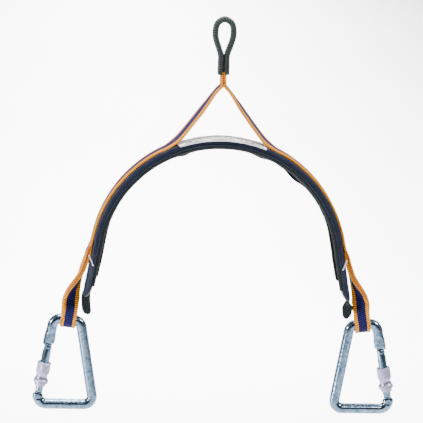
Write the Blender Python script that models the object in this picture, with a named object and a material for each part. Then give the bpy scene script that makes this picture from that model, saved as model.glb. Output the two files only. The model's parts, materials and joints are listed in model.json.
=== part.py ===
"""Rescue spreader yoke: a lifting eye, a webbing sling, a padded arch and two screw-gate carabiners.

The origin is the bearing point of the lifting eye, where a hook would carry it. +Z is up, +X runs
across the arch and +Y through its depth, away from the front. Lengths are in metres.
"""

import math

import bpy
from mathutils import Matrix, Vector

MM = 0.001
GAP = 0.3 * MM
DEG = math.pi / 180
DEPTH = Vector((0, 1, 0))

# webbing
WEB_WIDTH = 25 * MM
WEB_THICK = 3.0 * MM

# lifting eye: half width and length of its opening, then the neck down to the sleeve's mouth
EYE_HALF_WIDTH = 6.8 * MM
EYE_OPENING = 34.6 * MM
EYE_NECK = 24 * MM
EYE_SLEEVE_THICK = 6.9 * MM
EYE_SLEEVE_DEPTH = 18 * MM
EYE_SLEEVE_WALL = 0.9 * MM
EYE_WEBBING_DEPTH = 10.5 * MM
NECK_LENGTH = 9.2 * MM
PIVOT_CLEARANCE = 2.8 * MM

# padded arch: a half-round crown with straight arms that lean out
CROWN_DROP = 130.8 * MM
CROWN_RADIUS = 144 * MM
ARC_HALF_ANGLE = 80 * DEG
ARM_LENGTH = 66 * MM
COVER_DEPTH = 34 * MM
COVER_THICK = 10.4 * MM
COVER_WALL = 1.6 * MM
COVER_END_TAPER = 14 * MM
COVER_END_SHARE = 0.42
BAR_WIDTH = 22 * MM
BAR_THICK = 3.0 * MM
BAR_END_INSET = 20 * MM
PAD_END_INSET = 17 * MM
HEM_THICK = 1.0 * MM
CLOSURE_WIDTH = 18 * MM
CLOSURE_THICK = 1.0 * MM
CLOSURE_END_INSET = 24 * MM
CLOSURE_STEP = 2 * MM
LABEL_HALF_LENGTH = 52 * MM
LABEL_WIDTH = 24 * MM
LABEL_THICK = 0.5 * MM
TAIL_LENGTH = 24 * MM
TAIL_ANCHOR = 9 * MM
TAIL_WIDTH = 14 * MM
TAIL_ROOT_THICK = 2.0 * MM
TAIL_THICK = 4.4 * MM
TAIL_SHOULDER = 2.5 * MM
THREAD_RADIUS = 0.45 * MM

# sling legs: where a leg leaves the crown, and how far the end straps hang below the arc
LEG_LIFT_OFF = 63 * MM
STRAP_DROP = 34 * MM
STRAP_LEAN_OUT = 11.4 * MM
LOOP_WEB_WIDTH = 17.6 * MM
LOOP_EASE = 0.5 * MM
LOOP_RISE = 22 * MM
TACK_LENGTH = 9 * MM
TACK_THICK = 0.6 * MM
TACK_MARGIN = 2 * MM
TACK_STAND_OFF = 0.9 * MM
TACK_OVERLAP = 1.8 * MM

# carabiner: a round rod bent into a trapezoid, wide at the base
ROD_RADIUS = 6 * MM
TOP_BAR = 30.7 * MM
TOP_TILT = 6 * DEG
SPINE_LEAN = 9.4 * DEG
GATE_LEAN = 10.5 * DEG
BODY_DROP = 99.9 * MM
HANG_OUT = 15.6 * MM
HANG_DROP = 61.5 * MM
GATE_TOP_BEND = 10 * MM
SPINE_TOP_BEND = 9 * MM
SPINE_BASE_BEND = 9 * MM
GATE_BASE_BEND = 9.5 * MM
TONGUE_THICK = 4.0 * MM
TONGUE_HALF_WIDTH = 4.2 * MM
TONGUE_SLOT = 4.8 * MM

# gate, measured up its own axis from the hinge pin
HINGE_RISE = 17.7 * MM
GATE_LENGTH = 55.4 * MM
GATE_RADIUS = 5.0 * MM
GATE_OPENING = 26 * DEG
TIP_SLOT_DEPTH = 9.6 * MM
LATCH_PIN_DROP = 4.9 * MM
PIN_RADIUS = 1.5 * MM
HINGE_SLOT_TOP = 6.5 * MM
NOSE_GAP = 0.6 * MM
NOSE_TAPER = 2 * MM
TONGUE_ROOT = 3 * MM
TONGUE_CHAMFER = 1 * MM
TONGUE_FOOT_EASE = 0.7 * MM
NOTCH_EASE = 0.4 * MM
GATE_TIP_CHAMFER = 1 * MM
CAM_RADIUS = 4.2 * MM
CAM_LIFT = 1.0 * MM
PLUNGER_RADIUS = 1.6 * MM
PLUNGER_LENGTH = 7.2 * MM
SPRING_LENGTH = 13.5 * MM
SPRING_WIRE = 0.3 * MM
SPRING_TURNS = 6

# lock sleeve, measured up the gate's axis from the hinge pin
SLEEVE_FOOT = 4.2 * MM
SLEEVE_LENGTH = 28.6 * MM
SLEEVE_GRIP_RADIUS = 7.9 * MM
SLEEVE_WAIST_RADIUS = 6.5 * MM
SLEEVE_RIM_RADIUS = 8.5 * MM
SLEEVE_BORE_EASE = 0.4 * MM
SLEEVE_RIM_START = 3.2 * MM
SLEEVE_RIM_FULL = 4.6 * MM
SLEEVE_RIM_END = 7.4 * MM
SLEEVE_WAIST_START = 10.5 * MM
SLEEVE_WAIST_END = 14 * MM
SLEEVE_GRIP_START = 16 * MM
SLEEVE_TOP_CHAMFER = 1 * MM
SLEEVE_FOOT_DRAFT = 0.2 * MM
RING_HEIGHT = 1.4 * MM
RING_THICK = 1.0 * MM


# ---------------------------------------------------------------- scene, materials and meshes


def clear_scene():
    for item in list(bpy.data.objects):
        bpy.data.objects.remove(item, do_unlink=True)


def make_material(name, colour, roughness, metallic=0.0):
    material = bpy.data.materials.new(name)
    material.use_nodes = True
    shader = material.node_tree.nodes["Principled BSDF"]
    shader.inputs["Base Color"].default_value = (*colour, 1.0)
    shader.inputs["Roughness"].default_value = roughness
    shader.inputs["Metallic"].default_value = metallic
    return material


def mesh_from(name, points, faces):
    mesh = bpy.data.meshes.new(name)
    mesh.from_pydata([tuple(p) for p in points], [], faces)
    mesh.validate()
    face_outwards(mesh)
    return mesh


def face_outwards(mesh):
    """Turn every face of a closed mesh outwards, by the sign of its enclosed volume."""
    volume = 0.0
    for face in mesh.polygons:
        corners = [mesh.vertices[i].co for i in face.vertices]
        for second, third in zip(corners[1:], corners[2:]):
            volume += corners[0].dot(second.cross(third))
    if volume < 0:
        mesh.flip_normals()


def loft(name, rings, bores=None):
    """A closed solid through rings of points, with an open bore through it where bores are given."""
    count = len(rings[0])
    points = [p for ring in rings for p in ring]
    faces = wall_faces(len(rings), count, 0, False)
    if bores is None:
        faces.append(list(range(count))[::-1])
        faces.append([(len(rings) - 1) * count + i for i in range(count)])
        return mesh_from(name, points, faces)
    start = len(points)
    points += [p for ring in bores for p in ring]
    faces += wall_faces(len(bores), len(bores[0]), start, True)
    last_outer = (len(rings) - 1) * count
    last_inner = start + (len(bores) - 1) * count
    for i in range(count):
        j = (i + 1) % count
        faces.append([j, i, start + i, start + j])
        faces.append([last_outer + i, last_outer + j, last_inner + j, last_inner + i])
    return mesh_from(name, points, faces)


def wall_faces(ring_count, count, start, inwards):
    faces = []
    for ring in range(ring_count - 1):
        for i in range(count):
            j = (i + 1) % count
            low = start + ring * count
            high = low + count
            face = [low + i, low + j, high + j, high + i]
            faces.append(face[::-1] if inwards else face)
    return faces


def turned(name, outline, sides):
    """A solid of revolution about Z. The outline is (radius, height), and may start and end at radius 0."""
    points = []
    rows = []
    for radius, height in outline:
        if radius < 1e-9:
            rows.append([len(points)])
            points.append((0, 0, height))
            continue
        rows.append(list(range(len(points), len(points) + sides)))
        for i in range(sides):
            turn = 2 * math.pi * (i + 0.5) / sides
            points.append((radius * math.cos(turn), radius * math.sin(turn), height))
    closed = len(rows[0]) > 1
    pairs = list(zip(rows, rows[1:]))
    if closed:
        pairs.append((rows[-1], rows[0]))
    faces = []
    for low, high in pairs:
        for i in range(sides):
            j = (i + 1) % sides
            if len(low) == 1:
                faces.append([low[0], high[j], high[i]])
            elif len(high) == 1:
                faces.append([low[i], low[j], high[0]])
            else:
                faces.append([low[i], low[j], high[j], high[i]])
    return mesh_from(name, points, faces)


def rod_along_depth(name, radius, half_length, centre_x, centre_z, sides=12):
    """A round bar along Y."""
    rings = []
    for y in (-half_length, half_length):
        ring = []
        for i in range(sides):
            turn = 2 * math.pi * (i + 0.5) / sides
            ring.append((centre_x + radius * math.cos(turn), y, centre_z + radius * math.sin(turn)))
        rings.append(ring)
    return loft(name, rings)


def plate(name, outline, half_thick):
    """A flat plate in the XZ plane, of the (x, z) outline."""
    rings = [[(x, y, z) for x, z in outline] for y in (-half_thick, half_thick)]
    return loft(name, rings)


def block(name, low, high):
    """A box between two corners."""
    outline = [(low[0], low[2]), (high[0], low[2]), (high[0], high[2]), (low[0], high[2])]
    rings = [[(x, y, z) for x, z in outline] for y in (low[1], high[1])]
    return loft(name, rings)


def combine(mesh, other, operation):
    """The mesh after one exact Boolean with the other. Both meshes are used up."""
    body = bpy.data.objects.new("body", mesh)
    tool = bpy.data.objects.new("tool", other)
    for item in (body, tool):
        bpy.context.scene.collection.objects.link(item)
    boolean = body.modifiers.new("combine", "BOOLEAN")
    boolean.operation = operation
    boolean.solver = "EXACT"
    boolean.object = tool
    view = bpy.context.evaluated_depsgraph_get()
    result = bpy.data.meshes.new_from_object(body.evaluated_get(view))
    result.name = mesh.name
    for item in (body, tool):
        bpy.data.objects.remove(item, do_unlink=True)
    return result


def add_piece(name, mesh, material, parent=None, place=None, smooth=False):
    """Put one mesh in the scene as a named object with its own material."""
    piece = bpy.data.objects.new(name, mesh)
    bpy.context.scene.collection.objects.link(piece)
    if parent is not None:
        piece.parent = parent
    if place is not None:
        piece.matrix_local = place
    if not mesh.materials:
        mesh.materials.append(material)
    if smooth:
        mesh.shade_smooth()
        mesh.set_sharp_from_angle(angle=35 * DEG)
    return piece


def add_frame(name, place):
    """An empty that carries a moving group, on the group's joint axis."""
    frame = bpy.data.objects.new(name, None)
    bpy.context.scene.collection.objects.link(frame)
    frame.empty_display_size = 0.01
    frame.matrix_world = place
    return frame


def curve_through(points, steps):
    """Points of a smooth curve through the given ones, with this many steps between two of them."""
    padded = [points[0] * 2 - points[1], *points, points[-1] * 2 - points[-2]]
    result = []
    for a, b, c, d in zip(padded, padded[1:], padded[2:], padded[3:]):
        for step in range(steps):
            t = step / steps
            result.append(
                0.5 * (2 * b + (c - a) * t + (2 * a - 5 * b + 4 * c - d) * t * t)
                + 0.5 * (3 * b - a - 3 * c + d) * t * t * t
            )
    result.append(points[-1].copy())
    return result


def tangents(points):
    last = len(points) - 1
    return [
        (points[min(i + 1, last)] - points[max(i - 1, 0)]).normalized()
        for i in range(len(points))
    ]


# ---------------------------------------------------------------- the arch's own geometry


CROWN_CENTRE = Vector((0, 0, -CROWN_DROP - CROWN_RADIUS))
ARC_LENGTH = CROWN_RADIUS * ARC_HALF_ANGLE
HALF_LENGTH = ARC_LENGTH + ARM_LENGTH


def crown_point(along, lift=0.0):
    """A point on the arch's outer face, this far along it from the top, and lifted off it."""
    side = -1 if along < 0 else 1
    run = abs(along)
    turn = min(run, ARC_LENGTH) / CROWN_RADIUS
    out = Vector((side * math.sin(turn), 0, math.cos(turn)))
    point = CROWN_CENTRE + out * CROWN_RADIUS
    if run > ARC_LENGTH:
        down = Vector((side * math.cos(turn), 0, -math.sin(turn)))
        point += down * (run - ARC_LENGTH)
    return point + out * lift, out


def arch_stations(start, end, pitch=13 * MM):
    """Distances along the crown, from start to end, with a station at each end of the arc."""
    marks = sorted({start, end, *(m for m in (-ARC_LENGTH, ARC_LENGTH) if start < m < end)})
    result = [marks[0]]
    for low, high in zip(marks, marks[1:]):
        count = max(1, round((high - low) / pitch))
        result += [low + (high - low) * (i + 1) / count for i in range(count)]
    return result


def stadium(depth, thick, corner_steps=3):
    """A rounded-ended bar section as (depth, height) points, centred on the origin."""
    radius = thick / 2
    flat = depth / 2 - radius
    points = []
    for side, first in ((1, -90), (-1, 90)):
        for i in range(corner_steps + 1):
            turn = (first + 180 * i / corner_steps) * DEG
            points.append((side * flat + radius * math.cos(turn), radius * math.sin(turn)))
    return points


def oblong(depth, thick):
    """A plain rectangular section as (depth, height) points."""
    return [
        (depth / 2, -thick / 2),
        (depth / 2, thick / 2),
        (-depth / 2, thick / 2),
        (-depth / 2, -thick / 2),
    ]


def arch_rings(stations, section_at):
    """Rings along the arch. section_at gives the section and the lift of its centre at a distance."""
    rings = []
    for along in stations:
        section, lift = section_at(along)
        point, out = crown_point(along, lift)
        rings.append([point + out * height + DEPTH * depth for depth, height in section])
    return rings


def cover_thick(along):
    """The cover thins over its last stretch, on its inner side."""
    into_taper = max(0.0, abs(along) - (HALF_LENGTH - COVER_END_TAPER)) / COVER_END_TAPER
    return COVER_THICK * (1 - COVER_END_SHARE * into_taper**2)


def cover_stations():
    ends = [HALF_LENGTH - COVER_END_TAPER * share for share in (1, 0.6, 0.3, 0)]
    middle = arch_stations(-ends[0], ends[0])
    return [-e for e in ends[:0:-1]] + middle + ends[1:]


# ---------------------------------------------------------------- lifting eye and neck


def eye_path():
    """The centre line of the eye's strand, from one foot of the neck over the top to the other."""
    half = EYE_SLEEVE_THICK / 2
    wide = EYE_HALF_WIDTH + half
    closed = half + GAP / 2
    foot = -EYE_OPENING - EYE_NECK
    side = [
        Vector((closed, 0, foot)),
        Vector((closed, 0, foot + EYE_NECK * 0.45)),
        Vector((closed, 0, -EYE_OPENING - EYE_NECK * 0.12)),
        Vector((wide * 0.56, 0, -EYE_OPENING * 0.86)),
        Vector((wide * 0.9, 0, -EYE_OPENING * 0.56)),
        Vector((wide, 0, -EYE_OPENING * 0.3)),
        Vector((wide * 0.78, 0, -EYE_OPENING * 0.03)),
    ]
    top = Vector((0, 0, half))
    other = [Vector((-p.x, 0, p.z)) for p in reversed(side)]
    return curve_through([*side, top, *other], 3)


def rings_on_path(path, section):
    """Rings of a (depth, height) section along a path in the XZ plane."""
    rings = []
    for point, tangent in zip(path, tangents(path)):
        out = tangent.cross(DEPTH)
        rings.append([point + out * height + DEPTH * depth for depth, height in section])
    return rings


def build_eye(materials):
    path = eye_path()
    wall = EYE_SLEEVE_WALL
    outer = stadium(EYE_SLEEVE_DEPTH, EYE_SLEEVE_THICK)
    inner = stadium(EYE_SLEEVE_DEPTH - 2 * wall, EYE_SLEEVE_THICK - 2 * wall)
    sleeve = loft("eye_sleeve", rings_on_path(path, outer), rings_on_path(path, inner))
    add_piece("eye_sleeve", sleeve, materials["sleeve"], smooth=True)
    folded = oblong(EYE_WEBBING_DEPTH, EYE_SLEEVE_THICK - 2 * wall - 2 * GAP)
    add_piece("eye_webbing", loft("eye_webbing", rings_on_path(path, folded)), materials["webbing"])


def neck_pivot_height():
    return -EYE_OPENING - EYE_NECK - PIVOT_CLEARANCE


def neck_foot_height():
    return neck_pivot_height() - NECK_LENGTH


def build_neck(materials):
    """Both strands of the sling where they leave the sleeve, sewn together."""
    half = WEB_THICK + GAP
    corner_low = (-half, -WEB_WIDTH / 2, -NECK_LENGTH)
    corner_high = (half, WEB_WIDTH / 2, 0)
    mesh = block("neck_webbing", corner_low, corner_high)
    place = Matrix.Translation((0, 0, neck_pivot_height()))
    add_piece("neck_webbing", mesh, materials["webbing"], place=place)


# ---------------------------------------------------------------- sling legs


def strap_pivot(side):
    """Where an end strap swings, clear of the arm's outer face."""
    height = -CROWN_DROP - CROWN_RADIUS * (1 - math.cos(ARC_HALF_ANGLE)) - STRAP_DROP
    reach = CROWN_RADIUS * math.sin(ARC_HALF_ANGLE) + STRAP_LEAN_OUT
    return Vector((side * reach, 0, height))


def sling_path(side):
    """The centre line of one leg: down from the neck, out to the crown, along it and off its arm."""
    start = neck_foot_height() - GAP
    inset = WEB_THICK / 2 + 0.75 * GAP
    landing, out = crown_point(LEG_LIFT_OFF, GAP + WEB_THICK / 2)
    drop = landing.z - start
    mouth = Vector((inset, 0, start))
    leg = [
        Vector((inset, 0, start + 0.03 * drop)),
        Vector((0.13 * landing.x, 0, start + 0.125 * drop)),
        Vector((0.36 * landing.x, 0, start + 0.395 * drop)),
        Vector((0.61 * landing.x, 0, start + 0.675 * drop)),
        Vector((0.8 * landing.x, 0, start + 0.868 * drop)),
    ]
    lift = GAP + WEB_THICK / 2
    run = [crown_point(s, lift)[0] for s in arch_stations(LEG_LIFT_OFF, ARC_LENGTH - 4 * MM, 11 * MM)]
    pivot = strap_pivot(1)
    end = pivot + Vector((-0.3, 0, 0.95)) * PIVOT_CLEARANCE
    halfway = crown_point(ARC_LENGTH + STRAP_DROP * 0.42, lift + STRAP_DROP * 0.035)[0]
    points = [mouth, *curve_through([*leg, run[0]], 3)[:-1], *run, halfway, end]
    return [Vector((side * p.x, 0, p.z)) for p in points]


def build_sling(side, name, materials):
    section = oblong(WEB_WIDTH, WEB_THICK)
    mesh = loft(name, rings_on_path(sling_path(side), section))
    add_piece(name, mesh, materials["webbing"])


# ---------------------------------------------------------------- padded arch


def build_cover(materials):
    stations = cover_stations()

    def outer(along):
        thick = cover_thick(along)
        return stadium(COVER_DEPTH, thick), -thick / 2

    def inner(along):
        thick = cover_thick(along)
        return stadium(COVER_DEPTH - 2 * COVER_WALL, thick - 2 * COVER_WALL), -thick / 2

    mesh = loft("arch_cover", arch_rings(stations, outer), arch_rings(stations, inner))
    add_piece("arch_cover", mesh, materials["cover"], smooth=True)


def build_pad_and_bar(materials):
    centre = -COVER_THICK / 2
    pad_thick = COVER_THICK - 2 * COVER_WALL - 2 * GAP
    pad_depth = COVER_DEPTH - 2 * COVER_WALL - 2 * GAP
    outline = stadium(pad_depth, pad_thick)
    slot_depth = BAR_WIDTH + 2 * GAP
    slot_thick = BAR_THICK + 2 * GAP
    slot = stadium(slot_depth, slot_thick)
    pad_end = HALF_LENGTH - PAD_END_INSET
    stations = arch_stations(-pad_end, pad_end)
    pad = loft(
        "foam_pad",
        arch_rings(stations, lambda along: (outline, centre)),
        arch_rings(stations, lambda along: (slot, centre)),
    )
    add_piece("foam_pad", pad, materials["foam"])
    bar_end = HALF_LENGTH - BAR_END_INSET
    stations = arch_stations(-bar_end, bar_end)
    section = stadium(BAR_WIDTH, BAR_THICK)
    bar = loft("spreader_bar", arch_rings(stations, lambda along: (section, centre)))
    add_piece("spreader_bar", bar, materials["bar"], smooth=True)


def build_front_hem(materials):
    """The binding folded round the cover's front inner edge."""
    inner_radius = COVER_THICK / 2 + GAP
    outer_radius = inner_radius + HEM_THICK
    turns = [(165 + 105 * i / 4) * DEG for i in range(5)]
    centre = -(COVER_DEPTH - COVER_THICK) / 2
    section = []
    for radius, sweep in ((outer_radius, turns), (inner_radius, turns[::-1])):
        for turn in sweep:
            section.append((centre + radius * math.cos(turn), radius * math.sin(turn)))
    end = HALF_LENGTH - COVER_END_TAPER - GAP
    stations = arch_stations(-end, end)
    mesh = loft("front_hem", arch_rings(stations, lambda along: (section, -COVER_THICK / 2)))
    add_piece("front_hem", mesh, materials["hem"], smooth=True)


def build_closure(materials):
    """The hook and the loop halves of the closure that runs along the cover's inner face."""
    end = HALF_LENGTH - CLOSURE_END_INSET
    stations = arch_stations(-end, end)
    for order, name in enumerate(("closure_loop_strip", "closure_hook_strip")):
        lift = -COVER_THICK - GAP - CLOSURE_THICK / 2 - order * (CLOSURE_THICK + GAP)
        width = CLOSURE_WIDTH - order * CLOSURE_STEP
        section = [(d + CLOSURE_STEP, h) for d, h in oblong(width, CLOSURE_THICK)]
        mesh = loft(name, arch_rings(stations, lambda along: (section, lift)))
        add_piece(name, mesh, materials[name])


def build_label(materials):
    section = oblong(LABEL_WIDTH, LABEL_THICK)
    stations = arch_stations(-LABEL_HALF_LENGTH, LABEL_HALF_LENGTH)
    mesh = loft("label", arch_rings(stations, lambda along: (section, GAP + LABEL_THICK / 2)))
    add_piece("label", mesh, materials["label"])


def build_tail(side, name, materials):
    """A sewn fabric tab, anchored inside the end of the cover and hanging out of it."""
    thick_end = cover_thick(HALF_LENGTH)
    anchored = [HALF_LENGTH - TAIL_ANCHOR * share for share in (1, 0.5, 0)]
    free = [HALF_LENGTH + TAIL_SHOULDER + (TAIL_LENGTH - TAIL_SHOULDER) * i / 5 for i in range(6)]
    rings = []
    for along in anchored + free:
        beyond = max(0.0, along - HALF_LENGTH) / TAIL_LENGTH
        thick = TAIL_THICK if beyond > 0 else TAIL_ROOT_THICK
        width = TAIL_WIDTH * (1 - 0.45 * beyond**3)
        point, out = crown_point(side * along, -thick_end / 2)
        turn_in = Vector((-side, 0, 0)) * TAIL_LENGTH * 0.18 * beyond**1.5
        centre = point + turn_in
        section = oblong(width, thick)
        rings.append([centre + out * height + DEPTH * depth for depth, height in section])
    add_piece(name, loft(name, rings), materials["cover"])


def build_stay_thread(side, name, materials):
    """The white thread that ties the end strap's webbing to the front of the cover."""
    front = -COVER_DEPTH / 2
    hem_front = front - GAP - HEM_THICK
    centre = COVER_THICK / 2
    upper, out = crown_point(side * (ARC_LENGTH + STRAP_DROP * 0.55))
    lower, out = crown_point(side * (ARC_LENGTH + STRAP_DROP * 0.8))
    clear = THREAD_RADIUS + GAP
    points = [
        upper + out * (GAP + WEB_THICK / 2) + DEPTH * (-WEB_WIDTH / 2 - clear),
        upper * 0.5 + lower * 0.5 - out * centre * 0.3 + DEPTH * (front - clear),
        lower - out * centre * 0.75 + DEPTH * (hem_front - clear),
    ]
    path = curve_through(points, 4)
    rings = []
    for point, tangent in zip(path, tangents(path)):
        across = tangent.cross(DEPTH).normalized()
        up = across.cross(tangent)
        ring = []
        for i in range(6):
            turn = 2 * math.pi * i / 6
            ring.append(point + (across * math.cos(turn) + up * math.sin(turn)) * THREAD_RADIUS)
        rings.append(ring)
    add_piece(name, loft(name, rings), materials["thread"])


# ---------------------------------------------------------------- end straps with their loops


def hang_point(side):
    """The centre of a carabiner's top bar, in the webbing loop."""
    pivot = strap_pivot(side)
    return pivot + Vector((side * HANG_OUT, 0, -HANG_DROP))


def strap_axis():
    """The right strap's centre line from its swing pivot to where its two layers part."""
    pivot = strap_pivot(1)
    hang = hang_point(1)
    up_strap = Vector((-math.sin(TOP_TILT), 0, math.cos(TOP_TILT)))
    parting = hang + up_strap * LOOP_RISE
    across = parting.x - pivot.x
    drop = pivot.z - parting.z
    points = [
        pivot,
        Vector((pivot.x + 0.42 * across, 0, pivot.z - 0.3 * drop)),
        Vector((pivot.x + 0.8 * across, 0, pivot.z - 0.66 * drop)),
        parting,
    ]
    return curve_through(points, 4)


def strap_layers():
    """Centres, width directions and widths down the front layer, round the bar and up the back one."""
    axis = strap_axis()
    hang = hang_point(1)
    last = len(axis) - 1
    layer_shift = (WEB_THICK + GAP) / 2
    outward = Vector((math.cos(TOP_TILT), 0, math.sin(TOP_TILT)))
    stations = []
    for i, (point, tangent) in enumerate(zip(axis, tangents(axis))):
        share = i / last
        eased = share * share * (3 - 2 * share)
        twist = eased * math.pi / 2
        width_way = -DEPTH * math.cos(twist) + outward * math.sin(twist)
        width_way = (width_way - tangent * width_way.dot(tangent)).normalized()
        apart = tangent.cross(width_way)
        width = WEB_WIDTH + (LOOP_WEB_WIDTH - WEB_WIDTH) * eased
        stations.append((point, apart * layer_shift, width_way, width))
    ring_radius = ROD_RADIUS + LOOP_EASE + WEB_THICK / 2
    up_strap = Vector((-math.sin(TOP_TILT), 0, math.cos(TOP_TILT)))
    apart_way = (-up_strap).cross(outward)
    slant = math.hypot(LOOP_RISE, layer_shift)
    touch = math.asin(ring_radius / slant) - math.atan2(layer_shift, LOOP_RISE)
    steps = 8
    wrap = []
    for i in range(steps + 1):
        turn = touch - (math.pi + 2 * touch) * i / steps
        spot = hang + apart_way * ring_radius * math.cos(turn) + up_strap * ring_radius * math.sin(turn)
        wrap.append((spot, outward, LOOP_WEB_WIDTH))
    down = [(point + shift, way, width) for point, shift, way, width in stations]
    back = [(point - shift, way, width) for point, shift, way, width in reversed(stations)]
    return [*down, *wrap, *back]


def build_end_loop(side, name, materials):
    """A doubled strap that twists a quarter turn and loops round the carabiner's top bar."""
    stations = strap_layers()
    centres = [s[0] for s in stations]
    pivot = strap_pivot(1)
    rings = []
    for (centre, width_way, width), tangent in zip(stations, tangents(centres)):
        thick_way = tangent.cross(width_way).normalized() * (WEB_THICK / 2)
        wide_way = width_way * (width / 2)
        spot = centre - pivot
        corners = [
            spot + wide_way + thick_way,
            spot + wide_way - thick_way,
            spot - wide_way - thick_way,
            spot - wide_way + thick_way,
        ]
        rings.append([Vector((side * p.x, p.y, p.z)) for p in corners])
    place = Matrix.Translation(strap_pivot(side))
    add_piece(name, loft(name, rings), materials["webbing"], place=place)


def build_tack(side, name, materials):
    """The sewn block behind the strap, just above where its layers part."""
    outward = Vector((side * math.cos(TOP_TILT), 0, math.sin(TOP_TILT)))
    up_strap = Vector((-side * math.sin(TOP_TILT), 0, math.cos(TOP_TILT)))
    back = WEB_THICK + 1.5 * GAP + TACK_STAND_OFF
    half = LOOP_WEB_WIDTH / 2 - TACK_MARGIN
    foot = LOOP_RISE - TACK_OVERLAP
    pivot = strap_pivot(side)
    hang = hang_point(side)
    rings = []
    for depth in (back, back + TACK_THICK):
        ring = []
        for wide, high in ((-half, 0), (half, 0), (half, TACK_LENGTH), (-half, TACK_LENGTH)):
            spot = hang + outward * wide + up_strap * (foot + high) + DEPTH * depth
            ring.append(spot - pivot)
        rings.append(ring)
    add_piece(name, loft(name, rings), materials["thread"], place=Matrix.Translation(pivot))


# ---------------------------------------------------------------- carabiner


def carabiner_corners():
    """The rod's corners relative to the top bar's centre: gate top, spine top, spine base, gate base."""
    along = Vector((math.cos(TOP_TILT), 0, math.sin(TOP_TILT)))
    gate_turn = TOP_TILT + math.pi / 2 - GATE_LEAN
    spine_turn = math.pi / 2 - SPINE_LEAN - TOP_TILT
    gate_run = GATE_TOP_BEND * math.tan(gate_turn / 2)
    spine_run = SPINE_TOP_BEND * math.tan(spine_turn / 2)
    straight = TOP_BAR - gate_run - spine_run
    gate_top = along * (straight / 2 + gate_run)
    spine_top = -along * (straight / 2 + spine_run)
    gate_way = Vector((math.sin(GATE_LEAN), 0, -math.cos(GATE_LEAN)))
    spine_way = Vector((-math.sin(SPINE_LEAN), 0, -math.cos(SPINE_LEAN)))
    gate_base = gate_top + gate_way * ((gate_top.z + BODY_DROP) / -gate_way.z)
    spine_base = spine_top + spine_way * ((spine_top.z + BODY_DROP) / -spine_way.z)
    return gate_top, spine_top, spine_base, gate_base


def hinge_point():
    """The gate's hinge pin, relative to the top bar's centre."""
    gate_base = carabiner_corners()[3]
    return gate_base + Vector((-math.sin(GATE_LEAN), 0, math.cos(GATE_LEAN))) * HINGE_RISE


def gate_place():
    """Gate coordinates, with their origin on the hinge pin and Z up the gate."""
    return Matrix.Translation(hinge_point()) @ Matrix.Rotation(-GATE_LEAN, 4, "Y")


def bend(corner, before, after, radius, steps=5):
    """Points round one bend of the rod."""
    arriving = (corner - before).normalized()
    leaving = (after - corner).normalized()
    turn = arriving.angle(leaving)
    run = radius * math.tan(turn / 2)
    start = corner - arriving * run
    inward = (leaving - arriving * leaving.dot(arriving)).normalized()
    result = []
    for i in range(steps + 1):
        part = turn * i / steps
        result.append(start + arriving * radius * math.sin(part) + inward * radius * (1 - math.cos(part)))
    return result


def rod_path():
    gate_top, spine_top, spine_base, gate_base = carabiner_corners()
    frame = gate_place()
    nose = frame @ Vector((0, 0, GATE_LENGTH + NOSE_GAP))
    nose_full = frame @ Vector((0, 0, GATE_LENGTH + NOSE_GAP + NOSE_TAPER))
    shoulder = frame @ Vector((0, 0, -GATE_RADIUS - NOSE_GAP))
    return [
        nose,
        nose_full,
        *bend(gate_top, nose_full, spine_top, GATE_TOP_BEND),
        *bend(spine_top, gate_top, spine_base, SPINE_TOP_BEND),
        *bend(spine_base, spine_top, gate_base, SPINE_BASE_BEND),
        *bend(gate_base, spine_base, shoulder, GATE_BASE_BEND),
        shoulder,
    ]


def rod_mesh(sides=12):
    """The bent rod, with one flat facing into the carabiner all the way round."""
    path = rod_path()
    rings = []
    for i, (point, tangent) in enumerate(zip(path, tangents(path))):
        inward = tangent.cross(DEPTH)
        radius = GATE_RADIUS + GAP if i == 0 else ROD_RADIUS
        ring = []
        for k in range(sides):
            turn = 2 * math.pi * (k + 0.5) / sides
            ring.append(point + (inward * math.cos(turn) + DEPTH * math.sin(turn)) * radius)
        rings.append(ring)
    return loft("carabiner_body", rings)


def nose_tongue():
    """The flat hook inside the gate's tip, with a notch that the latch pin closes into."""
    shoulder = GATE_LENGTH + NOSE_GAP
    pin = GATE_LENGTH - LATCH_PIN_DROP
    notch = PIN_RADIUS + NOTCH_EASE
    foot = GATE_LENGTH - TIP_SLOT_DEPTH + TONGUE_FOOT_EASE
    cut = TONGUE_CHAMFER
    wide = TONGUE_HALF_WIDTH
    outline = [
        (-wide, shoulder + TONGUE_ROOT),
        (-wide, pin + notch),
        (notch, pin + notch),
        (notch, pin - notch),
        (-wide + cut, pin - notch),
        (-wide + cut, foot),
        (wide - cut, foot),
        (wide, foot + cut),
        (wide, shoulder + TONGUE_ROOT),
    ]
    return plate("nose_tongue", outline, TONGUE_THICK / 2)


def hinge_tongue():
    """The flat ear that the gate turns on. Its top is a cam that lifts the plunger as the gate opens."""
    root = -GATE_RADIUS - TONGUE_ROOT
    outline = [(TONGUE_HALF_WIDTH, root)]
    steps = 12
    for i in range(steps + 1):
        turn = (-90 + 180 * i / steps) * DEG
        rise = min(max(turn / GATE_OPENING, 0), 1.3)
        falling = max(0.0, turn - 50 * DEG) / (40 * DEG)
        radius = CAM_RADIUS + CAM_LIFT * rise * (1 - falling)
        outline.append((-radius * math.sin(turn), radius * math.cos(turn)))
    outline.append((-TONGUE_HALF_WIDTH, root))
    return plate("hinge_tongue", outline, TONGUE_THICK / 2)


def carabiner_mesh():
    body = rod_mesh()
    frame = gate_place()
    for tongue in (nose_tongue(), hinge_tongue()):
        tongue.transform(frame)
        body = combine(body, tongue, "UNION")
    hole = rod_along_depth("hinge_hole", PIN_RADIUS + GAP, TONGUE_THICK, 0, 0)
    hole.transform(frame)
    return combine(body, hole, "DIFFERENCE")


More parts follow.
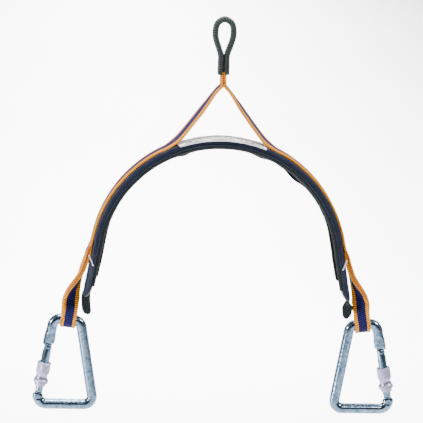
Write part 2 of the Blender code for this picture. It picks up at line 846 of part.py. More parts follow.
def gate_mesh():
    """The gate bar: a slot for each tongue, a hole for each pin and a bore for the plunger."""
    dome = [
        (GATE_RADIUS * math.sin(30 * i * DEG), -GATE_RADIUS * math.cos(30 * i * DEG))
        for i in range(1, 4)
    ]
    tip = GATE_TIP_CHAMFER
    outline = [
        (0, -GATE_RADIUS),
        *dome,
        (GATE_RADIUS, GATE_LENGTH - tip),
        (GATE_RADIUS - tip, GATE_LENGTH),
        (0, GATE_LENGTH),
    ]
    mesh = turned("gate", outline, 16)
    wide = 2 * GATE_RADIUS
    half = TONGUE_SLOT / 2
    hinge_slot = block("hinge_slot", (-wide, -half, -wide), (wide, half, HINGE_SLOT_TOP))
    tip_floor = GATE_LENGTH - TIP_SLOT_DEPTH
    tip_slot = block("tip_slot", (-wide, -half, tip_floor), (wide, half, GATE_LENGTH + wide))
    bore_top = plunger_foot() + PLUNGER_LENGTH + SPRING_LENGTH + 2 * GAP
    bore_radius = PLUNGER_RADIUS + GAP
    bore_foot = HINGE_SLOT_TOP - tip
    bore = [
        (0, bore_foot),
        (bore_radius, bore_foot),
        (bore_radius, bore_top),
        (0, bore_top),
    ]
    cutters = [
        hinge_slot,
        tip_slot,
        turned("plunger_bore", bore, 12),
        rod_along_depth("hinge_hole", PIN_RADIUS + GAP, wide, 0, 0),
        rod_along_depth("latch_hole", PIN_RADIUS + GAP, wide, 0, GATE_LENGTH - LATCH_PIN_DROP),
    ]
    for cutter in cutters:
        mesh = combine(mesh, cutter, "DIFFERENCE")
    return mesh


def plunger_foot():
    return CAM_RADIUS + GAP


def plunger_mesh():
    """A round-nosed pin that the spring presses on the hinge tongue's cam."""
    foot = plunger_foot()
    nose = [
        (PLUNGER_RADIUS * math.sin(t * DEG), foot + PLUNGER_RADIUS * (1 - math.cos(t * DEG)))
        for t in (30, 60, 90)
    ]
    top = foot + PLUNGER_LENGTH
    return turned("gate_plunger", [(0, foot), *nose, (PLUNGER_RADIUS, top), (0, top)], 12)


def spring_mesh():
    """The coil spring above the plunger."""
    foot = plunger_foot() + PLUNGER_LENGTH + GAP + SPRING_WIRE
    rise = SPRING_LENGTH - 2 * SPRING_WIRE - GAP
    coil = PLUNGER_RADIUS - SPRING_WIRE
    steps = 8 * SPRING_TURNS
    path = []
    for i in range(steps + 1):
        turn = 2 * math.pi * i / 8
        path.append(Vector((coil * math.cos(turn), coil * math.sin(turn), foot + rise * i / steps)))
    rings = []
    for point, tangent in zip(path, tangents(path)):
        out = Vector((point.x, point.y, 0)).normalized()
        up = tangent.cross(out)
        ring = []
        for k in range(5):
            turn = 2 * math.pi * k / 5
            ring.append(point + (out * math.cos(turn) + up * math.sin(turn)) * SPRING_WIRE)
        rings.append(ring)
    return loft("gate_spring", rings)


def sleeve_mesh():
    """The lock sleeve: a grip band, a waist, a rim and a skirt, bored to run on the gate."""
    foot = SLEEVE_FOOT
    top = foot + SLEEVE_LENGTH
    grip = SLEEVE_GRIP_RADIUS
    waist = SLEEVE_WAIST_RADIUS
    rim = SLEEVE_RIM_RADIUS
    bore = GATE_RADIUS + SLEEVE_BORE_EASE
    pocket = bore + RING_THICK + 2 * GAP
    pocket_top = foot + RING_HEIGHT + 2 * GAP
    outline = [
        (pocket, foot),
        (waist - SLEEVE_FOOT_DRAFT, foot),
        (waist, foot + SLEEVE_RIM_START),
        (rim, foot + SLEEVE_RIM_FULL),
        (rim, foot + SLEEVE_RIM_END),
        (waist, foot + SLEEVE_WAIST_START),
        (waist, foot + SLEEVE_WAIST_END),
        (grip, foot + SLEEVE_GRIP_START),
        (grip, top - SLEEVE_TOP_CHAMFER),
        (grip - SLEEVE_TOP_CHAMFER, top),
        (bore, top),
        (bore, pocket_top),
        (pocket, pocket_top),
    ]
    return turned("lock_sleeve", outline, 18)


def ring_mesh():
    """The split ring in the sleeve's foot, which slides with the sleeve without turning."""
    inner = GATE_RADIUS + SLEEVE_BORE_EASE
    outer = inner + RING_THICK - GAP
    low = SLEEVE_FOOT + GAP
    high = low + RING_HEIGHT
    return turned("stop_ring", [(inner, low), (outer, low), (outer, high), (inner, high)], 18)


def carabiner_meshes():
    pin_half = GATE_RADIUS * 0.86
    latch_height = GATE_LENGTH - LATCH_PIN_DROP
    return {
        "carabiner_body": (carabiner_mesh(), None),
        "gate": (gate_mesh(), gate_place()),
        "hinge_pin": (rod_along_depth("hinge_pin", PIN_RADIUS, pin_half, 0, 0), gate_place()),
        "latch_pin": (rod_along_depth("latch_pin", PIN_RADIUS, pin_half, 0, latch_height), gate_place()),
        "gate_plunger": (plunger_mesh(), gate_place()),
        "gate_spring": (spring_mesh(), gate_place()),
        "lock_sleeve": (sleeve_mesh(), gate_place()),
        "stop_ring": (ring_mesh(), gate_place()),
    }


def build_carabiner(side_name, side, meshes, materials):
    """One carabiner. The left one is the right one turned half round, so both gates face out."""
    half_turn = Matrix.Rotation(0 if side > 0 else math.pi, 4, "Z")
    frame = add_frame(f"{side_name}_carabiner_frame", Matrix.Translation(hang_point(side)) @ half_turn)
    for name, (mesh, place) in meshes.items():
        add_piece(f"{side_name}_{name}", mesh, materials[name], frame, place, smooth=True)


# ---------------------------------------------------------------- the whole yoke


def make_materials():
    steel = (0.55, 0.6, 0.66)
    return {
        "sleeve": make_material("sleeve_fabric", (0.05, 0.08, 0.08), 0.8),
        "webbing": make_material("webbing", (0.75, 0.4, 0.1), 0.75),
        "cover": make_material("cover_fabric", (0.03, 0.05, 0.12), 0.7),
        "hem": make_material("hem_binding", (0.04, 0.06, 0.07), 0.8),
        "closure_loop_strip": make_material("loop_tape", (0.02, 0.02, 0.03), 0.95),
        "closure_hook_strip": make_material("hook_tape", (0.015, 0.015, 0.02), 0.9),
        "foam": make_material("closed_cell_foam", (0.2, 0.2, 0.22), 0.9),
        "bar": make_material("bar_aluminium", (0.75, 0.75, 0.76), 0.35, 1.0),
        "label": make_material("label_film", (0.85, 0.84, 0.88), 0.5),
        "thread": make_material("sewing_thread", (0.85, 0.85, 0.82), 0.7),
        "carabiner_body": make_material("zinc_plated_steel", steel, 0.3, 1.0),
        "gate": make_material("gate_steel", steel, 0.3, 1.0),
        "hinge_pin": make_material("hinge_pin_steel", (0.5, 0.52, 0.55), 0.35, 1.0),
        "latch_pin": make_material("latch_pin_steel", (0.5, 0.52, 0.55), 0.35, 1.0),
        "gate_plunger": make_material("plunger_steel", (0.6, 0.6, 0.6), 0.35, 1.0),
        "gate_spring": make_material("spring_wire", (0.6, 0.6, 0.6), 0.3, 1.0),
        "lock_sleeve": make_material("knurled_steel", (0.7, 0.68, 0.72), 0.4, 1.0),
        "stop_ring": make_material("ring_wire", (0.5, 0.5, 0.5), 0.35, 1.0),
    }


def main():
    clear_scene()
    materials = make_materials()
    build_eye(materials)
    build_neck(materials)
    build_cover(materials)
    build_pad_and_bar(materials)
    build_front_hem(materials)
    build_closure(materials)
    build_label(materials)
    meshes = carabiner_meshes()
    for side_name, side in (("left", -1), ("right", 1)):
        build_sling(side, f"{side_name}_sling_webbing", materials)
        build_tail(side, f"{side_name}_tail", materials)
        build_stay_thread(side, f"{side_name}_stay_thread", materials)
        build_end_loop(side, f"{side_name}_end_loop", materials)
        build_tack(side, f"{side_name}_strap_tack", materials)
        build_carabiner(side_name, side, meshes, materials)


main()
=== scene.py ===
"""Rescue spreader yoke: webbing sling, padded arch and two screw-lock carabiners, dressed for rendering."""

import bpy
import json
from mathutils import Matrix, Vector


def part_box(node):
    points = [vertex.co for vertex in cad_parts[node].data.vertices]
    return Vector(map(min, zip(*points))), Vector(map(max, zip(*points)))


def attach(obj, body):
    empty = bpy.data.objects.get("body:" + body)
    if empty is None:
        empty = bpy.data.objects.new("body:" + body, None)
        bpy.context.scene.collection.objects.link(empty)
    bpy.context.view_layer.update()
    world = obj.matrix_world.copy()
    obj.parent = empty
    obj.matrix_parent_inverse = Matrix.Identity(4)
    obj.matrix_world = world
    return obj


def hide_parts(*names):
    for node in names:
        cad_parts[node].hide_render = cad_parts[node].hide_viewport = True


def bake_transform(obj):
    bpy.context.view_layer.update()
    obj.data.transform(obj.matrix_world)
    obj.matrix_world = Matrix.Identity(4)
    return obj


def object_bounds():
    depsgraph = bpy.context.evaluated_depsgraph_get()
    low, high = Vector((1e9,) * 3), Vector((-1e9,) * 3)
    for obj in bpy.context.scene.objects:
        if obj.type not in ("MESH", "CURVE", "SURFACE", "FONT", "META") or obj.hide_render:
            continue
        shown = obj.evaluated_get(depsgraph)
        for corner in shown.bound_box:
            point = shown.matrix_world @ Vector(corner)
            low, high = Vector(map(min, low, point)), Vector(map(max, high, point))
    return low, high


bl_info = {
    "name": "Rescue spreader yoke",
    "version": (1, 0, 0),
    "blender": (4, 5, 0),
    "location": "3D View > Sidebar > Yoke",
    "description": "Makes the cloth, webbing, thread and steel of a rescue spreader yoke round its CAD frame",
    "category": "Object",
}

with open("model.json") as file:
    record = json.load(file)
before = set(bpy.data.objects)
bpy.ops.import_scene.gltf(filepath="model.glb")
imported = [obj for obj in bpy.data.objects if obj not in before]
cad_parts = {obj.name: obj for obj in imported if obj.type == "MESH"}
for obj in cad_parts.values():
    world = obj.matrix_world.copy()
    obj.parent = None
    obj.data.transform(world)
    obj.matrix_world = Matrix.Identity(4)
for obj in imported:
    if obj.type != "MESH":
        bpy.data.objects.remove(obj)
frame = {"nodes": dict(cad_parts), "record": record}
CAD_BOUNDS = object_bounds()

import json
import math

import bmesh
import bpy
from mathutils import Matrix, Vector, noise

MM = 0.001
DEG = math.pi / 180
DEPTH = Vector((0, 1, 0))
FRONT = -DEPTH
SIDES = (("left", -1), ("right", 1))
JOINTS = {joint["name"]: joint for joint in frame["record"]["behaviour"]["joints"]}

# The arch: a half-round crown with straight arms, measured along its outer face from the top.
CROWN_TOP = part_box("arch_cover")[1].z
CROWN_RADIUS = 144 * MM
CROWN_CENTRE = Vector((0, 0, CROWN_TOP - CROWN_RADIUS))
ARC_HALF_ANGLE = 80 * DEG
ARC_LENGTH = CROWN_RADIUS * ARC_HALF_ANGLE
HALF_LENGTH = ARC_LENGTH + 66 * MM
COVER_THICK = 10.4 * MM
COVER_DEPTH = 34 * MM
COVER_TAPER = 14 * MM
COVER_TAPER_SHARE = 0.42
# How square the cover's section is on its outer and its inner face: 1 is round, and less is squarer.
OUTER_POWER = 0.46
INNER_POWER = 0.62

# Webbing, where it leaves the crown, and how it doubles at the ends. RIB_SLANT is how far a rib runs on
# along the webbing for each millimetre across it. PARTING_TWIST is the share of its quarter turn that a
# strap has made where its two layers part.
WEB_THICK = 3.0 * MM
GAP = 0.3 * MM
LEG_LIFT_OFF = 63 * MM
LEG_TILT = 7 * DEG
LAID = 1.45 * MM
LOOP_WIDTH = 17.6 * MM
LOOP_RISE = 22 * MM
CUP_DEPTH = 4.6 * MM
PARTING_TWIST = 0.72
RIB_SLANT = 0.35
OUTER_START = Vector((-0.6 * MM, 0, 7 * MM))
INNER_START = Vector((-4.0 * MM, 0, 7 * MM))
LABEL_FORWARD = -4.5 * MM
BINDING_RIB = 1.8 * MM

# Eye
EYE_HALF_WIDTH = 6.8 * MM
EYE_OPENING = 34.6 * MM
EYE_NECK = 24 * MM
EYE_THICK = 6.9 * MM
EYE_DEPTH = 18 * MM

# Carabiner
ROD_RADIUS = 6 * MM
TOP_BAR = 30.7 * MM
TOP_TILT = 6 * DEG
SPINE_LEAN = 9.4 * DEG
GATE_LEAN = 10.5 * DEG
BODY_DROP = 99.9 * MM
GATE_TOP_BEND = 10 * MM
SPINE_BEND = 9 * MM
GATE_BASE_BEND = 9.5 * MM
GATE_LENGTH = 55.4 * MM
GATE_RADIUS = 5 * MM
NOSE_GAP = 0.6 * MM
HINGE_RISE = 17.7 * MM
LATCH_HEIGHT = GATE_LENGTH - 4.9 * MM
UP_STRAP = Vector((-math.sin(TOP_TILT), 0, math.cos(TOP_TILT)))
OUTWARD = Vector((math.cos(TOP_TILT), 0, math.sin(TOP_TILT)))


def joint_place(name):
    """A joint's own point, in metres."""
    return Vector(JOINTS[name]["pos_m"])


# ---------------------------------------------------------------- settings that a user may change


def linear(hex_colour):
    """An sRGB hex colour as linear red, green and blue."""
    parts = [int(hex_colour[i : i + 2], 16) / 255 for i in (1, 3, 5)]
    return [c / 12.92 if c <= 0.04045 else ((c + 0.055) / 1.055) ** 2.4 for c in parts]


def size(name, description, default):
    """A length setting in metres."""
    return bpy.props.FloatProperty(
        name=name, description=description, default=default, min=0, unit="LENGTH", precision=5
    )


def colour(name, description, hex_colour):
    """A colour setting."""
    return bpy.props.FloatVectorProperty(
        name=name, description=description, default=linear(hex_colour), subtype="COLOR", min=0, max=1
    )


class YokeSizes(bpy.types.PropertyGroup):
    """Sizes of the webbing, thread, label and knurl"""

    web_width: size("Webbing width", "Width of the sling webbing", 25 * MM)
    web_rib: size("Webbing rib", "Spacing of the ribs across the webbing", 2.3 * MM)
    web_rib_height: size("Rib height", "How far a rib stands out of the webbing", 0.32 * MM)
    braid_rib: size("Sleeve rib", "Spacing of the ribs round the eye sleeve", 2.8 * MM)
    braid_rib_height: size("Sleeve rib height", "How far a rib stands out of the eye sleeve", 0.7 * MM)
    stitch_pitch: size("Stitch length", "Spacing of the stitches along the cover", 3.2 * MM)
    stitch_radius: size("Thread radius", "Radius of the sewing thread", 0.42 * MM)
    label_half: size("Label half length", "Half of the label's length", 52 * MM)
    label_width: size("Label width", "The label's width", 24 * MM)
    knurl_pitch: size("Knurl pitch", "Spacing of the knurl on the lock sleeve", 2.1 * MM)
    knurl_height: size("Knurl height", "Height of the knurl's pyramids", 0.38 * MM)
    fill_cap: size("Fill", "How far the filling may push the cover out", 1.3 * MM)


class YokeColours(bpy.types.PropertyGroup):
    """Colours of the webbing, cloth, thread and steel"""

    selvedge: colour("Selvedge", "The bright edges of the webbing", "#EC9E00")
    # Selvedge shade: the notches between the selvedge's ribs painted darker, as painted shade.
    selvedge_painted_shade: colour("Selvedge shade", "The notches between the selvedge's ribs", "#8A3606")
    # The webbing's blue middle is painted dark in its rib valleys and lighter on its rib crests: painted
    # shade and painted highlight over its own dark blue.
    web_centre: colour("Webbing centre", "The blue middle of the webbing", "#02031A")
    web_centre_lit_crest: colour("Webbing crest", "The ribs of the webbing's blue middle", "#15116A")
    # The sleeve's valleys between its ribs are painted near black: painted shade.
    braid: colour("Sleeve rib", "The ribs of the eye sleeve", "#303E3C")
    braid_painted_shade: colour("Sleeve shade", "Between the ribs of the eye sleeve", "#030708")
    cover: colour("Cover", "The coated cloth of the arch", "#02071A")
    cover_fleck: colour("Cover fleck", "The lighter threads of the cover", "#0E1C40")
    binding: colour("Binding", "The tape along the cover's front edge", "#030607")
    binding_fleck: colour("Binding fleck", "The lighter threads of the tape", "#16242A")
    closure: colour("Closure", "The hook and loop strips", "#020204")
    label: colour("Label", "The label's face", "#FFFFFF")
    label_print: colour("Label print", "The label's plain printed bars", "#382E60")
    thread_pale: colour("Pale thread", "The thread of the stays and the label", "#E6E8EA")
    thread_slate: colour("Slate thread", "The thread of the cover's front seam", "#222C40")
    thread_rust: colour("Rust thread", "The thread that sews the doubled webbing", "#8E3A14")
    steel: colour("Steel", "The carabiners' plated steel", "#74879A")
    steel_shade: colour("Steel shade", "The duller patches of the plating", "#36536C")
    knurled: colour("Knurled sleeve", "The lock sleeve's plated steel", "#9C8EAC")


# ---------------------------------------------------------------- curves and meshes


def ease(low, high, value):
    """0 below low, 1 above high, and a smooth rise between."""
    share = min(1.0, max(0.0, (value - low) / (high - low)))
    return share * share * (3 - 2 * share)


def curve_through(points, steps=4):
    """Points of a smooth curve through the given ones."""
    padded = [points[0] * 2 - points[1], *points, points[-1] * 2 - points[-2]]
    result = []
    for a, b, c, d in zip(padded, padded[1:], padded[2:], padded[3:]):
        for step in range(steps):
            t = step / steps
            first = 2 * b + (c - a) * t + (2 * a - 5 * b + 4 * c - d) * t * t
            result.append(0.5 * (first + (3 * b - a - 3 * c + d) * t**3))
    result.append(points[-1].copy())
    return result


def evenly(rows, pitch):
    """Rows of (point, direction, width) respaced evenly along their points."""
    marks = [0.0]
    for first, second in zip(rows, rows[1:]):
        marks.append(marks[-1] + (second[0] - first[0]).length)
    count = max(2, round(marks[-1] / pitch))
    result = []
    low = 0
    for step in range(count + 1):
        mark = marks[-1] * step / count
        while low < len(marks) - 2 and marks[low + 1] < mark:
            low += 1
        span = max(marks[low + 1] - marks[low], 1e-9)
        share = min(1.0, max(0.0, (mark - marks[low]) / span))
        result.append(tuple(a + (b - a) * share for a, b in zip(rows[low], rows[low + 1])))
    return result, marks[-1] / count


def tangents(points):
    """The way along a line at each of its points."""
    last = len(points) - 1
    return [
        (points[min(i + 1, last)] - points[max(i - 1, 0)]).normalized()
        for i in range(len(points))
    ]


def crown_point(along, lift=0.0):
    """A point on the arch's outer face, this far along it from the top, and lifted off it."""
    side = -1 if along < 0 else 1
    run = abs(along)
    turn = min(run, ARC_LENGTH) / CROWN_RADIUS
    out = Vector((side * math.sin(turn), 0, math.cos(turn)))
    point = CROWN_CENTRE + out * CROWN_RADIUS
    if run > ARC_LENGTH:
        point += Vector((side * math.cos(turn), 0, -math.sin(turn))) * (run - ARC_LENGTH)
    return point + out * lift, out


def finish_mesh(name, points, faces, weave, finish, sharp=40 * DEG):
    """An object from points and faces, facing out, with its weave map in millimetres."""
    mesh = bpy.data.meshes.new(name)
    mesh.from_pydata([tuple(p) for p in points], [], faces)
    if weave:
        layer = mesh.uv_layers.new(name="weave")
        for loop, place in zip(layer.data, weave):
            loop.uv = place
    shell = bmesh.new()
    shell.from_mesh(mesh)
    bmesh.ops.recalc_face_normals(shell, faces=shell.faces)
    shell.to_mesh(mesh)
    shell.free()
    mesh.shade_smooth()
    mesh.set_sharp_from_angle(angle=sharp)
    mesh.materials.append(finish)
    piece = bpy.data.objects.new(name, mesh)
    bpy.context.scene.collection.objects.link(piece)
    return piece


def squared(turn, power, width, height):
    """A point on a rounded rectangle: a power of 1 is an ellipse, and less is squarer."""
    across = math.copysign(abs(math.sin(turn)) ** power, math.sin(turn)) * width
    return across, math.copysign(abs(math.cos(turn)) ** power, math.cos(turn)) * height


def loft(rings, across, along, points, faces, weave):
    """Add a closed tube through rings to a mesh being made. across and along are in metres."""
    start = len(points)
    count = len(rings[0])
    for ring in rings:
        points.extend(ring)
    for i in range(len(rings) - 1):
        for j in range(count):
            k = (j + 1) % count
            low = start + i * count
            faces.append((low + j, low + k, low + count + k, low + count + j))
            for u, v in ((j, i), (j + 1, i), (j + 1, i + 1), (j, i + 1)):
                weave.append((across[u] / MM, along[v] / MM))
    for i, order in ((0, range(count - 1, -1, -1)), (len(rings) - 1, range(count))):
        faces.append(tuple(start + i * count + j for j in order))
        weave.extend((across[j] / MM, along[i] / MM) for j in order)


def lofted(name, rings, across, along, finish, sharp=40 * DEG):
    """One closed piece through rings."""
    points, faces, weave = [], [], []
    loft(rings, across, along, points, faces, weave)
    return finish_mesh(name, points, faces, weave, finish, sharp)


def turned(name, outline, sides, finish, relief=None, sharp=35 * DEG):
    """A piece turned about Z. The outline is (radius, height), closed, or ends on the axis."""
    points, rows, faces = [], [], []
    for radius, height in outline:
        if radius < 1e-7:
            rows.append([len(points)])
            points.append(Vector((0, 0, height)))
            continue
        rows.append(list(range(len(points), len(points) + sides)))
        for i in range(sides):
            turn = 2 * math.pi * i / sides
            reach = radius + (relief(turn, height, radius) if relief else 0)
            points.append(Vector((reach * math.cos(turn), reach * math.sin(turn), height)))
    pairs = list(zip(rows, rows[1:]))
    if len(rows[0]) > 1:
        pairs.append((rows[-1], rows[0]))
    for low, high in pairs:
        for i in range(sides):
            j = (i + 1) % sides
            if len(low) == 1:
                faces.append((low[0], high[j], high[i]))
            elif len(high) == 1:
                faces.append((low[i], low[j], high[0]))
            else:
                faces.append((low[i], low[j], high[j], high[i]))
    return finish_mesh(name, points, faces, None, finish, sharp)


def combined(piece, other, operation):
    """The piece after an exact Boolean with the other, which is used up."""
    boolean = piece.modifiers.new("combine", "BOOLEAN")
    boolean.operation = operation
    boolean.solver = "EXACT"
    boolean.object = other
    view = bpy.context.evaluated_depsgraph_get()
    mesh = bpy.data.meshes.new_from_object(piece.evaluated_get(view))
    piece.modifiers.clear()
    old = piece.data
    piece.data = mesh
    bpy.data.meshes.remove(old)
    bpy.data.objects.remove(other, do_unlink=True)
    return piece


def prism(name, outline, half_thick, finish):
    """A flat piece in the XZ plane, as thick as told along Y."""
    rings = [[Vector((x, y, z)) for x, z in outline] for y in (-half_thick, half_thick)]
    return lofted(name, rings, [0] * (len(outline) + 1), [0, 0], finish)


def thread_run(points, radius, sides, out):
    """Rings of a thread along points, fuller in its middle and closed at its ends."""
    rings = []
    for i, (point, tangent) in enumerate(zip(points, tangents(points))):
        side = tangent.cross(out).normalized()
        up = side.cross(tangent)
        share = 0.45 + 0.55 * math.sin(math.pi * (i + 0.5) / len(points)) ** 0.5
        turns = [2 * math.pi * k / sides for k in range(sides)]
        rings.append([point + (side * math.cos(t) + up * math.sin(t)) * radius * share for t in turns])
    return rings


def sew(parts, path, radius, out, side=1, sides=6):
    """Add a thread along a path, or its mirror image, to a mesh being made."""
    rings = thread_run(path, radius, sides, out)
    rings = [[Vector((side * p.x, p.y, p.z)) for p in ring] for ring in rings]
    loft(rings, [0] * (sides + 1), [0] * len(path), *parts)


# ---------------------------------------------------------------- materials


def node(tree, kind, inputs=None, out=0, **settings):
    """Add a shader node with its settings, and give its output. An input is a value, or what feeds it."""
    item = tree.nodes.new("ShaderNode" + kind)
    for key, value in settings.items():
        setattr(item, key, value)
    for key, value in (inputs or {}).items():
        if isinstance(value, bpy.types.NodeSocket):
            tree.links.new(value, item.inputs[key])
        else:
            item.inputs[key].default_value = value
    return item.outputs[out]


def rgba(values):
    """Red, green and blue with full alpha."""
    return (*values[:3], 1.0)


def new_finish(name, roughness, metallic=0.0, **settings):
    """A material's node tree and Principled shader, with the shader's constant settings."""
    material = bpy.data.materials.new(name)
    material.use_nodes = True
    shader = material.node_tree.nodes["Principled BSDF"]
    shader.inputs["Roughness"].default_value = roughness
    shader.inputs["Metallic"].default_value = metallic
    for key, value in settings.items():
        label = key.replace("_", " ").title().replace("Ior", "IOR")
        shader.inputs[label].default_value = value
    return material, material.node_tree, shader


def dress(tree, shader, base, height, rise, strength):
    """Join a colour pattern and a raised pattern to the shader. rise is in metres."""
    tree.links.new(base, shader.inputs["Base Color"])
    raised = node(tree, "Bump", {"Height": height, "Distance": rise, "Strength": strength})
    tree.links.new(raised, shader.inputs["Normal"])


def weave_place(tree):
    """How far across and along the cloth, in millimetres."""
    split = node(tree, "SeparateXYZ", {0: node(tree, "UVMap", uv_map="weave")}).node
    return split.outputs["X"], split.outputs["Y"]


def ribs(tree, across, along, pitch, slant=0.0):
    """A 0 to 1 wave along the weave, with one ridge in each pitch of millimetres."""
    run = node(tree, "Math", {0: across, 1: slant, 2: along}, operation="MULTIPLY_ADD")
    turn = node(tree, "Math", {0: run, 1: 2 * math.pi / pitch}, operation="MULTIPLY")
    wave = node(tree, "Math", {0: turn}, operation="SINE")
    return node(tree, "Math", {0: wave, 1: 0.5, 2: 0.5}, operation="MULTIPLY_ADD")


def fibres(tree, per_metre, detail=3.0):
    """Uneven fibres or grain by place in the object, with this many lumps to the metre."""
    where = node(tree, "TexCoord", out="Object")
    settings = {"Vector": where, "Scale": per_metre, "Detail": detail, "Roughness": 0.6}
    return node(tree, "TexNoise", settings, out="Fac")


def two_tone(tree, pattern, low, high, first, second):
    """The first colour where a pattern is below low, the second above high, and a blend between."""
    share = node(tree, "MapRange", {0: pattern, 1: low, 2: high})
    return node(tree, "Mix", {0: share, 6: first, 7: second}, out=2, data_type="RGBA")


def shaded(tree, base, pattern, low, high, darkest):
    """A colour made darker where a pattern is low, down to a grey share of it."""
    shade = two_tone(tree, pattern, low, high, darkest, (1.0, 1.0, 1.0, 1.0))
    inputs = {0: 1.0, 6: base, 7: shade}
    return node(tree, "Mix", inputs, out=2, data_type="RGBA", blend_type="MULTIPLY")


def woven_polyester_webbing(sizes, colours):
    """Shuttle-woven polyester: thick weft ribs make it look corded, with bright tight selvedges."""
    material, tree, shader = new_finish("woven_polyester_webbing", 0.7, specular_ior_level=0.15)
    across, along = weave_place(tree)
    rib = ribs(tree, across, along, sizes.web_rib / MM, RIB_SLANT)
    from_middle = node(tree, "Math", {0: across}, operation="ABSOLUTE")
    yarn = fibres(tree, 900.0)
    # The selvedge is painted darker in the notches between its ribs: painted shade.
    selvedge = two_tone(tree, rib, 0.14, 0.5, rgba(colours.selvedge_painted_shade), rgba(colours.selvedge))
    # The blue middle is painted lighter on the rib crests and darker between them: painted highlight and
    # painted shade.
    centre = two_tone(tree, rib, 0.5, 0.95, rgba(colours.web_centre), rgba(colours.web_centre_lit_crest))
    whole = two_tone(tree, from_middle, 6.6, 7.4, centre, selvedge)
    worn = shaded(tree, whole, yarn, 0.35, 0.75, (0.62, 0.6, 0.6, 1.0))
    height = node(tree, "Math", {0: yarn, 1: 0.4, 2: rib}, operation="MULTIPLY_ADD")
    dress(tree, shader, worn, height, 0.35 * MM, 0.7)
    return material


def braided_sleeve(sizes, colours):
    """Braided polyester sleeving: plump ribs with their valleys painted dark as painted shade, dull and
    slightly fuzzy.
    """
    material, tree, shader = new_finish(
        "braided_polyester_sleeve", 0.8, specular_ior_level=0.2, sheen_weight=0.06
    )
    across, along = weave_place(tree)
    pitch = sizes.braid_rib / MM
    rib = ribs(tree, across, along, pitch, 0.22)
    plait = ribs(tree, across, along, pitch / 2, -1.4)
    yarn = fibres(tree, 1100.0)
    # The valleys between the ribs are painted near black: painted shade.
    base = two_tone(tree, rib, 0.2, 0.85, rgba(colours.braid_painted_shade), rgba(colours.braid))
    fuzzy = shaded(tree, base, yarn, 0.4, 0.7, (0.55, 0.55, 0.55, 1.0))
    height = node(tree, "Math", {0: plait, 1: 0.3, 2: rib}, operation="MULTIPLY_ADD")
    dress(tree, shader, fuzzy, height, 0.4 * MM, 0.6)
    return material


def coated_nylon_cloth(colours):
    """Plain-woven nylon with a coating: a low satin shine over a speckled weave.

    The weave's pitch is drawn coarser than the real 0.5 mm, which would be too fine to show.
    """
    material, tree, shader = new_finish(
        "coated_nylon_cloth", 0.42, specular_ior_level=0.22, sheen_weight=0.02
    )
    across, along = weave_place(tree)
    warp, weft = (ribs(tree, across, along, 1.3, slant) for slant in (0.9, -0.9))
    crossing = node(tree, "Math", {0: warp, 1: weft}, operation="MULTIPLY")
    patches = fibres(tree, 160.0, 4.0)
    fleck = node(tree, "Math", {0: crossing, 1: patches}, operation="MULTIPLY")
    base = two_tone(tree, fleck, 0.12, 0.5, rgba(colours.cover), rgba(colours.cover_fleck))
    dress(tree, shader, base, crossing, 0.15 * MM, 0.6)
    return material


def grosgrain_binding(colours):
    """Grosgrain tape: fine crosswise ribs with paler flecks, nearly without shine.

    The ribs are drawn coarser than the real 1 mm, which would be too fine to show.
    """
    material, tree, shader = new_finish(
        "nylon_grosgrain_tape", 0.85, specular_ior_level=0.15, sheen_weight=0.03
    )
    across, along = weave_place(tree)
    rib = ribs(tree, across, along, BINDING_RIB / MM, 0.3)
    lit = node(tree, "Math", {0: rib, 1: fibres(tree, 700.0)}, operation="MULTIPLY")
    base = two_tone(tree, lit, 0.3, 0.6, rgba(colours.binding), rgba(colours.binding_fleck))
    dress(tree, shader, base, rib, 0.25 * MM, 0.8)
    return material


def closure_tape(name, colours, pitch, roughness):
    """Hook or loop tape: knitted and brushed or moulded, so it is matt with a broken nap."""
    material, tree, shader = new_finish(name, roughness, specular_ior_level=0.1)
    nap = fibres(tree, 1 / (pitch * MM), 5.0)
    lit = rgba([min(1.0, c * 5 + 0.012) for c in colours.closure])
    base = two_tone(tree, nap, 0.45, 0.75, rgba(colours.closure), lit)
    dress(tree, shader, base, nap, 0.5 * MM, 0.9)
    return material


def printed_label(colours):
    """Coated satin ribbon: smooth and pale, with plain printed bars, a border and end stripes."""
    material, tree, shader = new_finish(
        "printed_satin_label", 0.4, coat_weight=0.15, coat_roughness=0.3
    )
    across, along = weave_place(tree)
    from_middle = node(tree, "Math", {0: across}, operation="ABSOLUTE")
    from_centre = node(tree, "Math", {0: along}, operation="ABSOLUTE")
    swapped = node(tree, "CombineXYZ", {0: along, 1: across, 2: 0.0})
    stretched = node(tree, "Mapping", {"Vector": swapped, "Scale": (0.3, 0.12, 1.0)})
    marks = node(tree, "TexNoise", {"Vector": stretched, "Scale": 1.0, "Detail": 1.0}, out="Fac")
    limits = (
        (ribs(tree, along, across, 8.0), 0.4, 0.7),
        (marks, 0.5, 0.56),
        (from_centre, 44.0, 43.0),
        (from_middle, 8.6, 8.0),
        (from_middle, 10.4, 10.8),
        (along, 44.5, 45.0),
        (ribs(tree, across, along, 3.6), 0.5, 0.6),
    )
    steps = [node(tree, "MapRange", {0: value, 1: low, 2: high}) for value, low, high in limits]
    printed = steps[0]
    for step in steps[1:4]:
        printed = node(tree, "Math", {0: printed, 1: step}, operation="MULTIPLY")
    stripes = node(tree, "Math", {0: steps[5], 1: steps[6]}, operation="MULTIPLY")
    lines = node(tree, "Math", {0: steps[4], 1: stripes}, operation="MAXIMUM")
    ink = node(tree, "Math", {0: lines, 1: 0.4, 2: printed}, operation="MULTIPLY_ADD")
    base = two_tone(tree, ink, 0.0, 1.0, rgba(colours.label), rgba(colours.label_print))
    dress(tree, shader, base, fibres(tree, 500.0), 0.1 * MM, 0.4)
    return material


def bonded_thread(name, shade):
    """Bonded nylon sewing thread: twisted plies with a slight gloss."""
    material, tree, shader = new_finish(name, 0.6, specular_ior_level=0.2)
    plies = fibres(tree, 1500.0)
    base = two_tone(tree, plies, 0.35, 0.6, rgba([c * 0.55 for c in shade]), rgba(shade))
    dress(tree, shader, base, plies, 0.2 * MM, 0.6)
    return material


